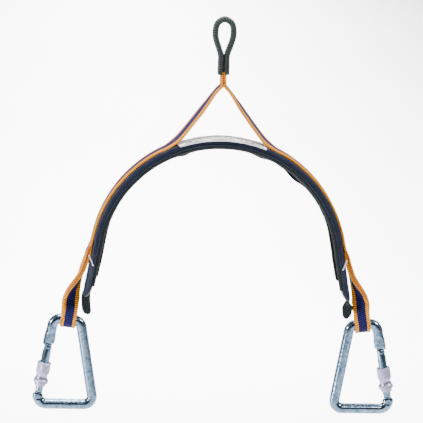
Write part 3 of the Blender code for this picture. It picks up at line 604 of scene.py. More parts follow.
def plated_steel(name, bright, dull, roughness, grain):
    """Forged steel, tumbled and zinc plated: bright with a bluish cast, and mottled where it is dull."""
    material, tree, shader = new_finish(name, roughness, 1.0)
    cloud = fibres(tree, 260.0, 6.0)
    pits = fibres(tree, grain, 2.0)
    base = two_tone(tree, cloud, 0.36, 0.7, rgba(bright), rgba(dull))
    settings = {0: cloud, 1: 0.3, 2: 0.7, 3: roughness - 0.07, 4: roughness + 0.12}
    tree.links.new(node(tree, "MapRange", settings), shader.inputs["Roughness"])
    dress(tree, shader, base, pits, 0.12 * MM, 0.5)
    return material


def extruded_aluminium():
    """Extruded aluminium bar, mill finish: pale grey with fine lines."""
    material, tree, shader = new_finish("mill_finish_aluminium", 0.38, 1.0)
    lines = fibres(tree, 400.0)
    base = two_tone(tree, lines, 0.0, 1.0, rgba(linear("#CED0D3")), rgba(linear("#DFE1E3")))
    dress(tree, shader, base, lines, 0.05 * MM, 0.4)
    return material


FINISHES = {}


def make_finishes():
    """Make every finish once, from the colours and sizes set in the sidebar."""
    sizes = bpy.context.scene.yoke_sizes
    colours = bpy.context.scene.yoke_colours
    steel, dull, knurled = colours.steel, colours.steel_shade, colours.knurled
    FINISHES.update(
        webbing=woven_polyester_webbing(sizes, colours),
        braid=braided_sleeve(sizes, colours),
        cover=coated_nylon_cloth(colours),
        binding=grosgrain_binding(colours),
        loop=closure_tape("brushed_loop_tape", colours, 1.2, 0.95),
        hook=closure_tape("moulded_hook_tape", colours, 1.6, 0.7),
        label=printed_label(colours),
        pale_thread=bonded_thread("bonded_thread_pale", colours.thread_pale),
        slate_thread=bonded_thread("bonded_thread_slate", colours.thread_slate),
        rust_thread=bonded_thread("bonded_thread_rust", colours.thread_rust),
        steel=plated_steel("zinc_plated_forged_steel", steel, dull, 0.17, 900.0),
        knurled=plated_steel("knurled_zinc_plated_steel", knurled, steel, 0.33, 1400.0),
        pin=plated_steel("ground_pin_steel", dull, steel, 0.35, 1200.0),
        bar=extruded_aluminium(),
    )


def refinish(finish, *node_names):
    """Give CAD nodes that stay in view one of the finishes made here."""
    for name in node_names:
        slots = frame["nodes"][name].data.materials
        slots.clear()
        slots.append(FINISHES[finish])


# ---------------------------------------------------------------- webbing


def web_section(width, thick):
    """(across, height) points round the webbing, plump at its selvedges and thinner between."""
    radius = thick / 2
    half = width / 2
    inset = [0, 0.08, 0.3, 0.65, 1.0]
    shares = [half - radius * step for step in inset] + [half * 0.66, half * 0.5, half * 0.25, 0]
    upper = []
    for across in shares:
        edge = half - across
        height = math.sqrt(max(0.0, radius**2 - max(0.0, radius - edge) ** 2))
        height *= 1 - 0.2 * ease(radius * 2.4, radius * 3.6, edge)
        upper.append((across, height))
    top = upper[:-1] + [(0.0, upper[-1][1])] + [(-a, h) for a, h in reversed(upper[:-1])]
    bottom = [(-a, -h) for a, h in top[1:-1]]
    return top + bottom


def web_rings(rows, pitch, cup_at=None, pressed=0.0):
    """Rings, across and along distances of webbing through rows of (centre, width way, width)."""
    sizes = bpy.context.scene.yoke_sizes
    rib, rise = sizes.web_rib, sizes.web_rib_height
    rows, step = evenly(rows, pitch)
    section = web_section(sizes.web_width, WEB_THICK)
    centres = [row[0] for row in rows]
    rings, along = [], []
    for i, ((centre, way, width), tangent) in enumerate(zip(rows, tangents(centres))):
        way = (way - tangent * way.dot(tangent)).normalized()
        up = tangent.cross(way)
        scale = width / sizes.web_width
        distance = i * step
        ring = []
        for across, height in section:
            wave = 0.5 + 0.5 * math.sin(2 * math.pi * (distance + RIB_SLANT * across) / rib)
            toward_edge = abs(across) / (sizes.web_width / 2)
            swell = rise * (wave**0.7 - 0.6) * (0.35 + 0.65 * ease(0.45, 0.8, toward_edge))
            reach = across + math.copysign(swell * ease(0.85, 1.0, toward_edge), across)
            lift = height + math.copysign(swell, height) * (1 if abs(height) > 1e-6 else 0)
            lift *= 0.4 + 0.6 * ease(-1e-6, pressed, (len(rows) - 1 - i) * step) if pressed else 1
            spot = centre + way * reach * scale + up * lift
            if cup_at:
                backwards = up if up.y > 0 else -up
                spot += backwards * cup_at(centre) * (1 - (2 * across / sizes.web_width) ** 2)
            ring.append(spot)
        rings.append(ring)
        along.append(distance)
    across = [a for a, h in section]
    return rings, [*across, across[0]], along


def mirrored(rows, side):
    """The right side's rows, or their mirror images."""
    flip = Vector((side, 1, 1))
    return [(centre * flip, way * flip, width) for centre, way, width in rows]


def leg_rows():
    """The right leg, from the neck out to the crown and down its arm, up to the doubled end."""
    sizes = bpy.context.scene.yoke_sizes
    start = joint_place("yoke_turn").z + 1.6 * MM
    landing, out = crown_point(LEG_LIFT_OFF, LAID)
    drop = landing.z - start
    inset = WEB_THICK / 2 + 0.2 * MM
    leg = [
        Vector((inset, 0, start)),
        Vector((inset + 0.3 * MM, 0, start + 0.04 * drop)),
        Vector((0.13 * landing.x, 0, start + 0.125 * drop)),
        Vector((0.36 * landing.x, 0, start + 0.395 * drop)),
        Vector((0.61 * landing.x, 0, start + 0.675 * drop)),
        Vector((0.8 * landing.x, 0, start + 0.868 * drop)),
    ]
    count = 16
    run = []
    for i in range(count + 1):
        distance = LEG_LIFT_OFF + (ARC_LENGTH - 4 * MM - LEG_LIFT_OFF) * i / count
        run.append(crown_point(distance, LAID)[0])
    points = curve_through([*leg, *run, *arm_points()], 4)
    rows = []
    for point, tangent in zip(points, tangents(points)):
        share = ease(0.1, 0.4, point.x / landing.x) * (1 - ease(0.75, 1.15, point.x / landing.x))
        normal = FRONT.cross(tangent)
        tilt = LEG_TILT * share
        way = FRONT * math.cos(tilt) - normal * math.sin(tilt)
        rows.append((point, way, sizes.web_width))
    return rows


def arm_points():
    """The sling's own layer down the arm, outside the tucked-in end, to just above the swing pivot."""
    pivot = joint_place("right_strap_swing")
    raised = LAID + WEB_THICK + 0.2 * MM
    steps = (
        (1 * MM, LAID + 0.1 * MM),
        (6 * MM, LAID + 0.5 * MM),
        (11 * MM, LAID + 1.5 * MM),
        (17 * MM, raised),
        (22 * MM, raised + 0.4 * MM),
    )
    points = [crown_point(ARC_LENGTH + along, lift)[0] for along, lift in steps]
    return [*points, pivot + OUTER_START]


def strap_axis():
    """Points down the middle of the right strap, from its pivot to where its two layers part."""
    pivot = joint_place("right_strap_swing")
    parting = joint_place("right_carabiner_swing") + UP_STRAP * LOOP_RISE
    across = parting.x - pivot.x
    drop = pivot.z - parting.z
    knees = [Vector((pivot.x + a * across, 0, pivot.z - b * drop)) for a, b in ((0.36, 0.3), (0.75, 0.66))]
    return [pivot, *knees, parting]


def strap_frame(share, tangent):
    """The strap's width way, the way between its layers, and its width, this share of the way down."""
    web_width = bpy.context.scene.yoke_sizes.web_width
    turned_share = PARTING_TWIST * share**1.7
    twist = turned_share * math.pi / 2
    way = FRONT * math.cos(twist) + OUTWARD * math.sin(twist)
    way = (way - tangent * way.dot(tangent)).normalized()
    return way, tangent.cross(way), web_width + (LOOP_WIDTH - web_width) * turned_share


def strap_rows():
    """The right end strap: down its front layer, round the bar, and up outside the sling."""
    sizes = bpy.context.scene.yoke_sizes
    pivot = joint_place("right_strap_swing")
    hang = joint_place("right_carabiner_swing")
    axis = curve_through(strap_axis(), 4)
    shift = (WEB_THICK + GAP) / 2
    down, back = [], []
    for i, (point, tangent) in enumerate(zip(axis, tangents(axis))):
        way, apart, width = strap_frame(i / (len(axis) - 1), tangent)
        down.append((point + apart * shift, way, width))
        back.append((point - apart * shift, way, width))
    radius = ROD_RADIUS + 0.5 * MM + WEB_THICK / 2
    apart_way = (-UP_STRAP).cross(OUTWARD)
    slant = math.hypot(LOOP_RISE, shift)
    touch = math.asin(radius / slant) - math.atan2(shift, LOOP_RISE)
    wrap = []
    for i in range(17):
        turn = touch - (math.pi + 2 * touch) * i / 16
        spot = hang + apart_way * radius * math.cos(turn) + UP_STRAP * radius * math.sin(turn)
        wrap.append((spot, OUTWARD, LOOP_WIDTH))
    above = (pivot + OUTER_START, FRONT, sizes.web_width)
    tucked = [(pivot + INNER_START, FRONT, sizes.web_width)]
    for along, lift in ((21 * MM, LAID), (15 * MM, LAID - 0.1 * MM), (9.5 * MM, 0.75 * MM)):
        point = crown_point(ARC_LENGTH + along, lift)[0]
        tucked.append((point, FRONT, sizes.web_width))
    rows = [above, *back, *wrap[::-1], *down[::-1], *tucked]
    points = curve_through([row[0] for row in rows], 4)
    result = []
    for i, point in enumerate(points):
        low = min(i // 4, len(rows) - 2)
        share = i / 4 - low
        way = rows[low][1] * (1 - share) + rows[low + 1][1] * share
        width = rows[low][2] * (1 - share) + rows[low + 1][2] * share
        result.append((point, way.normalized(), width))
    return result


class YOKE_OT_slings(bpy.types.Operator):
    """Weave both sling legs from the neck over the arch to its ends"""

    bl_idname = "yoke.slings"
    bl_label = "Sling legs"

    def execute(self, context):
        for name, side in SIDES:
            rings, across, along = web_rings(mirrored(leg_rows(), side), 0.55 * MM)
            piece = lofted(f"{name}_leg_webbing", rings, across, along, FINISHES["webbing"], 75 * DEG)
            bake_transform(piece)
            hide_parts(f"{name}_sling_webbing")
        return {"FINISHED"}


class YOKE_OT_end_straps(bpy.types.Operator):
    """Weave the doubled end straps, sew them and carry them round the carabiners' top bars"""

    bl_idname = "yoke.end_straps"
    bl_label = "End straps"

    def execute(self, context):
        sizes = context.scene.yoke_sizes
        for name, side in SIDES:
            pivot = joint_place(f"{name}_strap_swing")
            hang = joint_place(f"{name}_carabiner_swing")

            def cup_at(centre):
                down = (pivot.z - centre.z) / (pivot.z - hang.z)
                return CUP_DEPTH * ease(0.15, 0.5, down) * (1 - ease(0.58, 0.84, down))

            rows = mirrored(strap_rows(), side)
            rings, across, along = web_rings(rows, 0.55 * MM, cup_at, 8 * MM)
            strap = lofted(f"{name}_strap_webbing", rings, across, along, FINISHES["webbing"], 75 * DEG)
            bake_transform(strap)
            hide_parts(f"{name}_end_loop")
            stitches = self.stitches(name, side, sizes)
            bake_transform(stitches)
            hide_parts(f"{name}_strap_tack")
        return {"FINISHED"}

    def stitches(self, name, side, sizes):
        """Over-edge stitches that bind the two layers, and the bars sewn across the back."""
        parts = ([], [], [])
        axis = strap_axis()
        rise = axis[0].z - crown_point(ARC_LENGTH)[0].z
        lift = LAID + 1.6 * MM
        seam = [
            crown_point(ARC_LENGTH - rise * share, lift - rise * 0.02 * share)[0]
            for share in (0.26, 0.44, 0.64)
        ]
        line = [(p, 0.0, 0.0) for p in curve_through([*seam, *axis], 6)]
        line, step = evenly(line, sizes.web_rib)
        spots = [row[0] for row in line]
        for spot, tangent in zip(spots, tangents(spots)):
            share = min(1.0, max(0.0, (axis[0].z - spot.z) / (axis[0].z - axis[-1].z)))
            way, apart, width = strap_frame(share, tangent)
            if share > 0.82:
                backwards = apart if apart.y > 0 else -apart
                for column in range(-3, 4):
                    path = []
                    for k in range(5):
                        arc = (math.sin(math.pi * k / 4) * 0.45 + 0.1) * MM
                        reach = column * 0.11 * width + (k / 4 - 0.5) * 1.5 * MM
                        path.append(spot + way * reach + backwards * (WEB_THICK + GAP / 2 + arc))
                    sew(parts, path, sizes.stitch_radius, tangent, side)
                continue
            for edge in (-1, 1):
                path = []
                for k in range(7):
                    turn = math.pi * (k / 6 - 0.5)
                    reach = width / 2 - 0.75 * MM + 1.0 * MM * math.cos(turn)
                    slant = tangent * 0.5 * MM * (k / 6 - 0.5)
                    path.append(spot + way * edge * reach + apart * 1.5 * MM * math.sin(turn) + slant)
                sew(parts, path, sizes.stitch_radius, tangent, side)
        return finish_mesh(f"{name}_strap_stitches", *parts, FINISHES["rust_thread"])


# ---------------------------------------------------------------- eye and neck


def eye_path():
    """The centre line of the eye's strand, from one foot of the neck over the top to the other."""
    half = EYE_THICK / 2
    wide = EYE_HALF_WIDTH + half
    closed = half - 0.1 * MM
    foot = -EYE_OPENING - EYE_NECK
    side = [
        Vector((closed, 0, foot)),
        Vector((closed, 0, foot + EYE_NECK * 0.45)),
        Vector((closed, 0, -EYE_OPENING - EYE_NECK * 0.12)),
        Vector((wide * 0.56, 0, -EYE_OPENING * 0.86)),
        Vector((wide * 0.9, 0, -EYE_OPENING * 0.56)),
        Vector((wide, 0, -EYE_OPENING * 0.3)),
        Vector((wide * 0.78, 0, -EYE_OPENING * 0.03)),
    ]
    other = [Vector((-p.x, 0, p.z)) for p in reversed(side)]
    return curve_through([*side, Vector((0, 0, half)), *other], 6)


class YOKE_OT_eye(bpy.types.Operator):
    """Braid the sleeve of the lifting eye, with the strands that leave its mouth"""

    bl_idname = "yoke.eye"
    bl_label = "Lifting eye"

    def execute(self, context):
        sizes = context.scene.yoke_sizes
        rows, step = evenly([(p, 0.0, 0.0) for p in eye_path()], 0.45 * MM)
        path = [row[0] for row in rows]
        rings, along = [], []
        sides = 28
        half_depth, half_thick = EYE_DEPTH / 2, EYE_THICK / 2
        for i, (point, tangent) in enumerate(zip(path, tangents(path))):
            out = tangent.cross(DEPTH)
            distance = i * step
            from_mouth = min(distance, (len(path) - 1) * step - distance)
            flare = 1 + 0.05 * (1 - ease(0, 2.5 * MM, from_mouth))
            ring = []
            for k in range(sides):
                turn = 2 * math.pi * k / sides
                slope = 0.22 * half_depth * math.sin(turn) * (1 if point.x < 0 else -1)
                wave = 0.5 + 0.5 * math.sin(2 * math.pi * (distance + slope) / sizes.braid_rib)
                swell = sizes.braid_rib_height * (wave**0.6 - 0.75)
                depth, lift = squared(turn, 0.85, half_depth * flare + swell, half_thick * flare + swell)
                ring.append(point + DEPTH * depth + out * lift)
            rings.append(ring)
            along.append(distance)
        across = [k / sides * 40 * MM for k in range(sides + 1)]
        sleeve = lofted("eye_sleeve_braid", rings, across, along, FINISHES["braid"], 75 * DEG)
        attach(sleeve, "lifting_eye")
        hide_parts("eye_sleeve")
        refinish("webbing", "eye_webbing")
        self.neck(sizes)
        return {"FINISHED"}

    def neck(self, sizes):
        """Both strands between the sleeve's mouth and the fork, side by side."""
        top = -EYE_OPENING - EYE_NECK + 3 * MM
        pivot = joint_place("eye_tilt").z
        foot = joint_place("yoke_turn").z + 0.9 * MM
        parts = ([], [], [])
        for side in (-1, 1):
            centre = side * (WEB_THICK / 2 + 0.2 * MM)
            rows = [
                (Vector((centre * 1.1, 0, top)), FRONT, sizes.web_width * 0.62),
                (Vector((centre * 1.1, 0, pivot + 1.5 * MM)), FRONT, sizes.web_width * 0.66),
                (Vector((centre * 1.05, 0, pivot - 4 * MM)), FRONT, sizes.web_width * 0.96),
                (Vector((centre, 0, foot)), FRONT, sizes.web_width),
            ]
            rings, across, along = web_rings(rows, 0.5 * MM)
            loft(rings, across, along, *parts)
        neck = finish_mesh("neck_strands", *parts, FINISHES["webbing"], 75 * DEG)
        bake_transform(neck)
        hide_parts("neck_webbing")
        parts = ([], [], [])
        face = -sizes.web_width / 2 + 0.7 * MM
        for i in range(5):
            height = foot + 1.6 * MM + i * 1.9 * MM
            path = []
            for t in (-1.5, -0.9, -0.3, 0.3, 0.9, 1.5):
                depth = face - 1.1 * MM * math.cos(t)
                path.append(Vector((1.25 * MM * math.sin(t), depth, height + 0.35 * MM * t)))
            sew(parts, path, sizes.stitch_radius * 0.9, Vector((0, 0, 1)))
        seam = finish_mesh("neck_seam", *parts, FINISHES["rust_thread"])
        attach(seam, "neck")


# ---------------------------------------------------------------- padded arch


def cover_thick(along):
    """The cover thins over its last stretch, on its inner side."""
    into = max(0.0, abs(along) - (HALF_LENGTH - COVER_TAPER)) / COVER_TAPER
    return COVER_THICK * (1 - COVER_TAPER_SHARE * into**2)


def cushion_section(thick, shrink, sides):
    """(depth, lift) round the padded cover: flat-sided, with full rounded edges."""
    half_thick = thick / 2 - shrink
    half_depth = COVER_DEPTH / 2 - shrink
    result = []
    for k in range(sides):
        turn = 2 * math.pi * k / sides
        power = OUTER_POWER if math.cos(turn) > 0 else INNER_POWER
        depth, lift = squared(turn, power, half_depth, half_thick)
        result.append((depth, lift + (shrink if lift > 0 else 0)))
    return result


def crown_fall(depth):
    """How far the cover's outer face falls away toward its rounded edges."""
    share = min(0.999, abs(depth) / (COVER_DEPTH / 2))
    return COVER_THICK / 2 * (1 - (1 - share ** (2 / OUTER_POWER)) ** (OUTER_POWER / 2))


def fill_out(piece, held, pressure, cap):
    """Press a soft shell out from inside by cloth simulation, and keep how far each point moves small."""
    group = piece.vertex_groups.new(name="held")
    for index, weight in enumerate(held):
        group.add([index], weight, "REPLACE")
    rest = [v.co.copy() for v in piece.data.vertices]
    cloth = piece.modifiers.new("filling", "CLOTH")
    settings = cloth.settings
    settings.quality = 6
    settings.mass = 0.2
    settings.tension_stiffness = 12
    settings.compression_stiffness = 12
    settings.bending_stiffness = 0.2
    settings.use_pressure = True
    settings.uniform_pressure_force = pressure
    settings.shrink_min = -0.045
    settings.effector_weights.gravity = 0
    settings.vertex_group_mass = "held"
    cloth.collision_settings.use_collision = False
    frames = 20
    cloth.point_cache.frame_start = 1
    cloth.point_cache.frame_end = frames
    scene = bpy.context.scene
    for number in range(1, frames + 1):
        scene.frame_set(number)
    view = bpy.context.evaluated_depsgraph_get()
    moved = [v.co.copy() for v in piece.evaluated_get(view).data.vertices]
    piece.modifiers.remove(cloth)
    scene.frame_set(1)
    for vertex, start, end in zip(piece.data.vertices, rest, moved):
        step = end - start
        length = step.length
        if length > 1e-9:
            step *= cap * math.tanh(length / cap) / length
        vertex.co = start + step
    piece.vertex_groups.clear()


class YOKE_OT_cover(bpy.types.Operator):
    """Sew and fill the padded cover of the arch"""

    bl_idname = "yoke.cover"
    bl_label = "Padded cover"

    def execute(self, context):
        sizes = context.scene.yoke_sizes
        sides = 36
        shrink = 0.35 * MM
        band_half = 13.2 * MM
        count = 150
        nose = 4 * MM
        rings, along, held = [], [], []
        stations = [-HALF_LENGTH + 2 * HALF_LENGTH * i / count for i in range(count + 1)]
        ends = [nose * share for share in (0.04, 0.15, 0.4, 0.7)]
        extra = [HALF_LENGTH - e for e in ends]
        between = [s for s in stations if abs(s) < HALF_LENGTH - nose]
        stations = sorted([*between, *extra, *(-e for e in extra)])
        for s in stations:
            thick = cover_thick(s)
            left = HALF_LENGTH - abs(s)
            round_off = math.sqrt(max(0.0, 1 - (1 - min(1.0, left / nose)) ** 2))
            ring = []
            for depth, lift in cushion_section(thick, shrink, sides):
                full = 0.25 + 0.75 * round_off
                depth *= 0.82 + 0.18 * round_off
                point, out = crown_point(s, -thick / 2 + lift * full)
                ring.append(point + DEPTH * depth)
                outer_band = lift > 0 and abs(depth) < band_half
                under_tape = lift < -0.35 * thick
                held.append(1.0 if outer_band or under_tape or left < nose else 0.0)
            rings.append(ring)
            along.append(s)
        across = [k / sides * 82 * MM for k in range(sides + 1)]
        cover = lofted("arch_cover_cloth", rings, across, along, FINISHES["cover"], 80 * DEG)
        fill_out(cover, held, 4.0, sizes.fill_cap)
        subdivide = cover.modifiers.new("smooth", "SUBSURF")
        subdivide.levels = 1
        subdivide.render_levels = 1
        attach(cover, "yoke")
        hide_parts("arch_cover", "foam_pad")
        refinish("bar", "spreader_bar")
        return {"FINISHED"}


def strip_rings(section_at, start, end, pitch):
    """Rings along the arch of a strip whose (depth, lift) section may change with distance."""
    count = round((end - start) / pitch)
    rings, along = [], []
    for i in range(count + 1):
        s = start + (end - start) * i / count
        rings.append([crown_point(s, lift)[0] + DEPTH * depth for depth, lift in section_at(s)])
        along.append(s)
    return rings, along


class YOKE_OT_binding(bpy.types.Operator):
    """Bind the cover's front edge and sew its seam"""

    bl_idname = "yoke.binding"
    bl_label = "Binding and seam"

    def execute(self, context):
        sizes = context.scene.yoke_sizes
        centre = -(COVER_DEPTH - COVER_THICK) / 2

        def tape(s):
            wave = 0.12 * MM * math.sin(2 * math.pi * s / BINDING_RIB)
            inner = COVER_THICK / 2 + 0.1 * MM
            outer = inner + 1.0 * MM + wave
            turns = [(198 + 74 * i / 7) * DEG for i in range(8)]
            rim = [(outer - (0.5 * MM if i in (0, 7) else 0), t) for i, t in enumerate(turns)]
            rim += [(inner, t) for t in turns[::-1]]
            middle = -COVER_THICK / 2
            return [(centre + r * math.cos(t) * 1.02, middle + r * math.sin(t)) for r, t in rim]

        end = HALF_LENGTH - COVER_TAPER
        rings, along = strip_rings(tape, -end, end, 0.6 * MM)
        across = [i * 0.9 * MM for i in range(17)]
        binding = lofted("front_binding", rings, across, along, FINISHES["binding"], 50 * DEG)
        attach(binding, "yoke")
        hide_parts("front_hem")

        parts = ([], [], [])
        count = round(2 * end / sizes.stitch_pitch)
        for i in range(count):
            middle = -end + (i + 0.5) * 2 * end / count
            path = []
            turn = 192 * DEG
            for k in range(6):
                s = middle + (k / 5 - 0.5) * sizes.stitch_pitch * 0.72
                reach = COVER_THICK / 2 + 0.15 * MM + 0.55 * MM * math.sin(math.pi * k / 5)
                lift = -COVER_THICK / 2 + reach * math.sin(turn)
                path.append(crown_point(s, lift)[0] + DEPTH * (centre + reach * math.cos(turn) * 1.03))
            sew(parts, path, sizes.stitch_radius, DEPTH)
        seam = finish_mesh("front_seam", *parts, FINISHES["slate_thread"])
        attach(seam, "yoke")
        return {"FINISHED"}


class YOKE_OT_closure(bpy.types.Operator):
    """Lay the hook and the loop strip along the cover's inner face"""

    bl_idname = "yoke.closure"
    bl_label = "Hook and loop closure"

    def execute(self, context):
        end = HALF_LENGTH - 24 * MM
        puckers = (
            (-212 * MM, 34 * MM, 1.5 * MM),
            (-46 * MM, 9 * MM, 1.9 * MM),
            (50 * MM, 8 * MM, 1.9 * MM),
            (100 * MM, 14 * MM, 3.2 * MM),
            (212 * MM, 34 * MM, 1.0 * MM),
        )
        strips = (("closure_loop_strip", "loop", "loop_tape"), ("closure_hook_strip", "hook", "hook_tape"))
        shift = 2 * MM
        corner = 0.3 * MM
        for order, (node_name, finish, record_slot) in enumerate(strips):
            width = (18 - 2 * order) * MM
            top = -COVER_THICK + 0.3 * MM - order * 1.25 * MM

            def tape(s):
                swell = sum(h * math.exp(-(((s - c) / w) ** 2)) for c, w, h in puckers)
                ripple = 0.3 * MM * noise.noise(Vector((s / MM / 9, order * 7.3, 0)))
                thick = 1.1 * MM + (swell + ripple if order else 0)
                near, far = shift - width / 2, shift + width / 2
                return [
                    (far, top - corner),
                    (far - corner, top),
                    (shift, top),
                    (near + corner, top),
                    (near, top - corner),
                    (near, top - thick + corner),
                    (near + corner, top - thick),
                    (shift, top - thick * 1.08),
                    (far - corner, top - thick),
                    (far, top - thick + corner),
                ]

            rings, along = strip_rings(tape, -end, end, 1.5 * MM)
            across = [i * 4 * MM for i in range(11)]
            piece = lofted(f"{node_name}_tape", rings, across, along, FINISHES[finish], 50 * DEG)
            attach(piece, "yoke")
            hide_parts(node_name)
        return {"FINISHED"}


class YOKE_OT_label(bpy.types.Operator):
    """Lay the label on the crown and sew it down along its edges"""

    bl_idname = "yoke.label"
    bl_label = "Label"

    def execute(self, context):
        sizes = context.scene.yoke_sizes
        half = sizes.label_half
        width = sizes.label_width / 2
        rings, along = [], []
        count = 70
        shares = [i / 4 for i in range(-4, 5)]
        for i in range(count + 1):
            s = -half + 2 * half * i / count
            ring = []
            for lift, order in ((0.75 * MM, shares), (0.2 * MM, shares[::-1])):
                for share in order:
                    slant = -4 * MM * share if s < 0 else 0
                    edge = ease(0.7, 1.0, abs(share)) * 0.25 * MM
                    ripple = 0.22 * MM * noise.noise(Vector((s / MM / 7, share * 2, 3.1)))
                    reach = s + slant * ease(0.5, 1.0, abs(s) / half)
                    depth = LABEL_FORWARD + 0.98 * width * share
                    lie = lift + ripple - edge - crown_fall(depth)
                    ring.append(crown_point(reach, lie)[0] + DEPTH * depth)
            rings.append(ring)
            along.append(s)
        across_top = [width * share for share in shares]
        across = [*across_top, *across_top[::-1], across_top[0]]
        label = lofted("crown_label", rings, across, along, FINISHES["label"], 50 * DEG)
        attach(label, "yoke")
        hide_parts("label")

        parts = ([], [], [])
        pitch = sizes.stitch_pitch
        number = round(2 * (half - 3 * MM) / pitch)
        for edge in (-1, 1):
            for i in range(number):
                middle = -half + 3 * MM + (i + 0.5) * pitch
                path = []
                for k in range(6):
                    s = middle + (k / 5 - 0.5) * pitch * 0.7
                    depth = LABEL_FORWARD + edge * (0.98 * width - 0.4 * MM)
                    rise = 0.55 * MM + 0.55 * MM * math.sin(math.pi * k / 5) - crown_fall(depth)
                    path.append(crown_point(s, rise)[0] + DEPTH * depth)
                sew(parts, path, sizes.stitch_radius * 0.9, DEPTH)
        seam = finish_mesh("label_seam", *parts, FINISHES["pale_thread"])
        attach(seam, "yoke")
        return {"FINISHED"}


class YOKE_OT_tails(bpy.types.Operator):
    """Make the sewn tabs at the cover's ends and the stay threads"""

    bl_idname = "yoke.tails"
    bl_label = "Tails and stays"

    def execute(self, context):
        for name, side in SIDES:
            self.tail(name, side)
            self.stay(name, side)
        return {"FINISHED"}

    def tail(self, name, side):
        """A two-ply tab, anchored in the cover's end. The right one turns its face forwards."""
        length = 24 * MM
        anchored = 0.45
        twist = 62 * DEG if side > 0 else 50 * DEG
        thick_end = cover_thick(HALF_LENGTH)
        rings, along = [], []
        count = 26
        for i in range(count + 1):
            beyond = -anchored + (1 + anchored) * i / count
            free = max(0.0, beyond)
            leaf = 0.72 + 0.28 * math.sin(math.pi * min(1.0, free * 1.15) ** 0.8)
            leaf = leaf if side > 0 else 0.94
            tip = math.sqrt(max(0.03, 1 - max(0.0, (free - 0.78) / 0.22) ** 2))
            width = 14 * MM * leaf * tip
            thick = (2.0 + 1.4 * ease(0, 0.15, free) - 1.2 * ease(0.75, 1.0, free)) * MM
            turn = twist * (ease(0, 0.55, free) if side > 0 else ease(-anchored, -0.1, beyond))
            point, out = crown_point(side * (HALF_LENGTH + beyond * length), -thick_end / 2)
            inward = (0.18 if side > 0 else 0.26) * length * free**1.5 + (0 if side > 0 else 1.2 * MM)
            point = point + Vector((-side, 0, 0)) * inward
            way = FRONT * math.cos(turn) + out * math.sin(turn)
            normal = out * math.cos(turn) - FRONT * math.sin(turn)
            ring = []
            for k in range(20):
                rise, reach = squared(2 * math.pi * k / 20, 0.7, thick / 2, width / 2)
                ring.append(point + way * reach + normal * rise)
            rings.append(ring)
            along.append(beyond * length)
        across = [k * 1.6 * MM for k in range(21)]
        tail = lofted(f"{name}_tail_tab", rings, across, along, FINISHES["binding"], 60 * DEG)
        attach(tail, "yoke")
        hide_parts(f"{name}_tail")

    def stay(self, name, side):
        """White thread from the strap's webbing to the front of the cover, with its knot."""
        sizes = bpy.context.scene.yoke_sizes
        drop = crown_point(ARC_LENGTH)[0].z - joint_place("right_strap_swing").z
        upper, out = crown_point(side * (ARC_LENGTH + drop * 0.55))
        lower, out = crown_point(side * (ARC_LENGTH + drop * 0.8))
        front = -COVER_DEPTH / 2
        clear = 0.75 * MM
        path = curve_through(
            [
                upper + out * (GAP + WEB_THICK / 2) + DEPTH * (-sizes.web_width / 2 - clear),
                upper * 0.5 + lower * 0.5 - out * 1.6 * MM + DEPTH * (front - clear),
                lower - out * COVER_THICK * 0.4 + DEPTH * (front - 1.3 * MM - clear),
            ],
            6,
        )
        parts = ([], [], [])
        sew(parts, path, 0.4 * MM, DEPTH, sides=8)
        for spot in (path[0], path[-1]):
            knot = []
            for t in [0.5 * k for k in range(12)]:
                round_way = out * math.cos(t) + Vector((0, 0, 1)) * math.sin(t)
                knot.append(spot + round_way * 0.55 * MM + DEPTH * (0.1 * t - 0.4) * MM)
            sew(parts, knot, 0.42 * MM, DEPTH)
        stay = finish_mesh(f"{name}_stay", *parts, FINISHES["pale_thread"])
        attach(stay, "yoke")
        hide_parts(f"{name}_stay_thread")


# ---------------------------------------------------------------- carabiners


def carabiner_corners():
    """The rod's corners relative to the top bar's centre: gate top, spine top, spine base, gate base."""
    gate_run = GATE_TOP_BEND * math.tan((TOP_TILT + math.pi / 2 - GATE_LEAN) / 2)
    spine_run = SPINE_BEND * math.tan((math.pi / 2 - SPINE_LEAN - TOP_TILT) / 2)
    straight = TOP_BAR - gate_run - spine_run
    gate_top = OUTWARD * (straight / 2 + gate_run)
    spine_top = -OUTWARD * (straight / 2 + spine_run)
    gate_way = Vector((math.sin(GATE_LEAN), 0, -math.cos(GATE_LEAN)))
    spine_way = Vector((-math.sin(SPINE_LEAN), 0, -math.cos(SPINE_LEAN)))
    gate_base = gate_top + gate_way * ((gate_top.z + BODY_DROP) / -gate_way.z)
    spine_base = spine_top + spine_way * ((spine_top.z + BODY_DROP) / -spine_way.z)
    return gate_top, spine_top, spine_base, gate_base


def gate_place():
    """Gate coordinates, with their origin on the hinge pin and Z up the gate."""
    up_gate = Vector((-math.sin(GATE_LEAN), 0, math.cos(GATE_LEAN)))
    hinge = carabiner_corners()[3] + up_gate * HINGE_RISE
    return Matrix.Translation(hinge) @ Matrix.Rotation(-GATE_LEAN, 4, "Y")


def bend(corner, before, after, radius, steps=12):
    """Points round one bend of the rod."""
    arriving = (corner - before).normalized()
    leaving = (after - corner).normalized()
    turn = arriving.angle(leaving)
    start = corner - arriving * radius * math.tan(turn / 2)
    inward = (leaving - arriving * leaving.dot(arriving)).normalized()
    result = []
    for i in range(steps + 1):
        part = turn * i / steps
        result.append(start + arriving * radius * math.sin(part) + inward * radius * (1 - math.cos(part)))
    return result


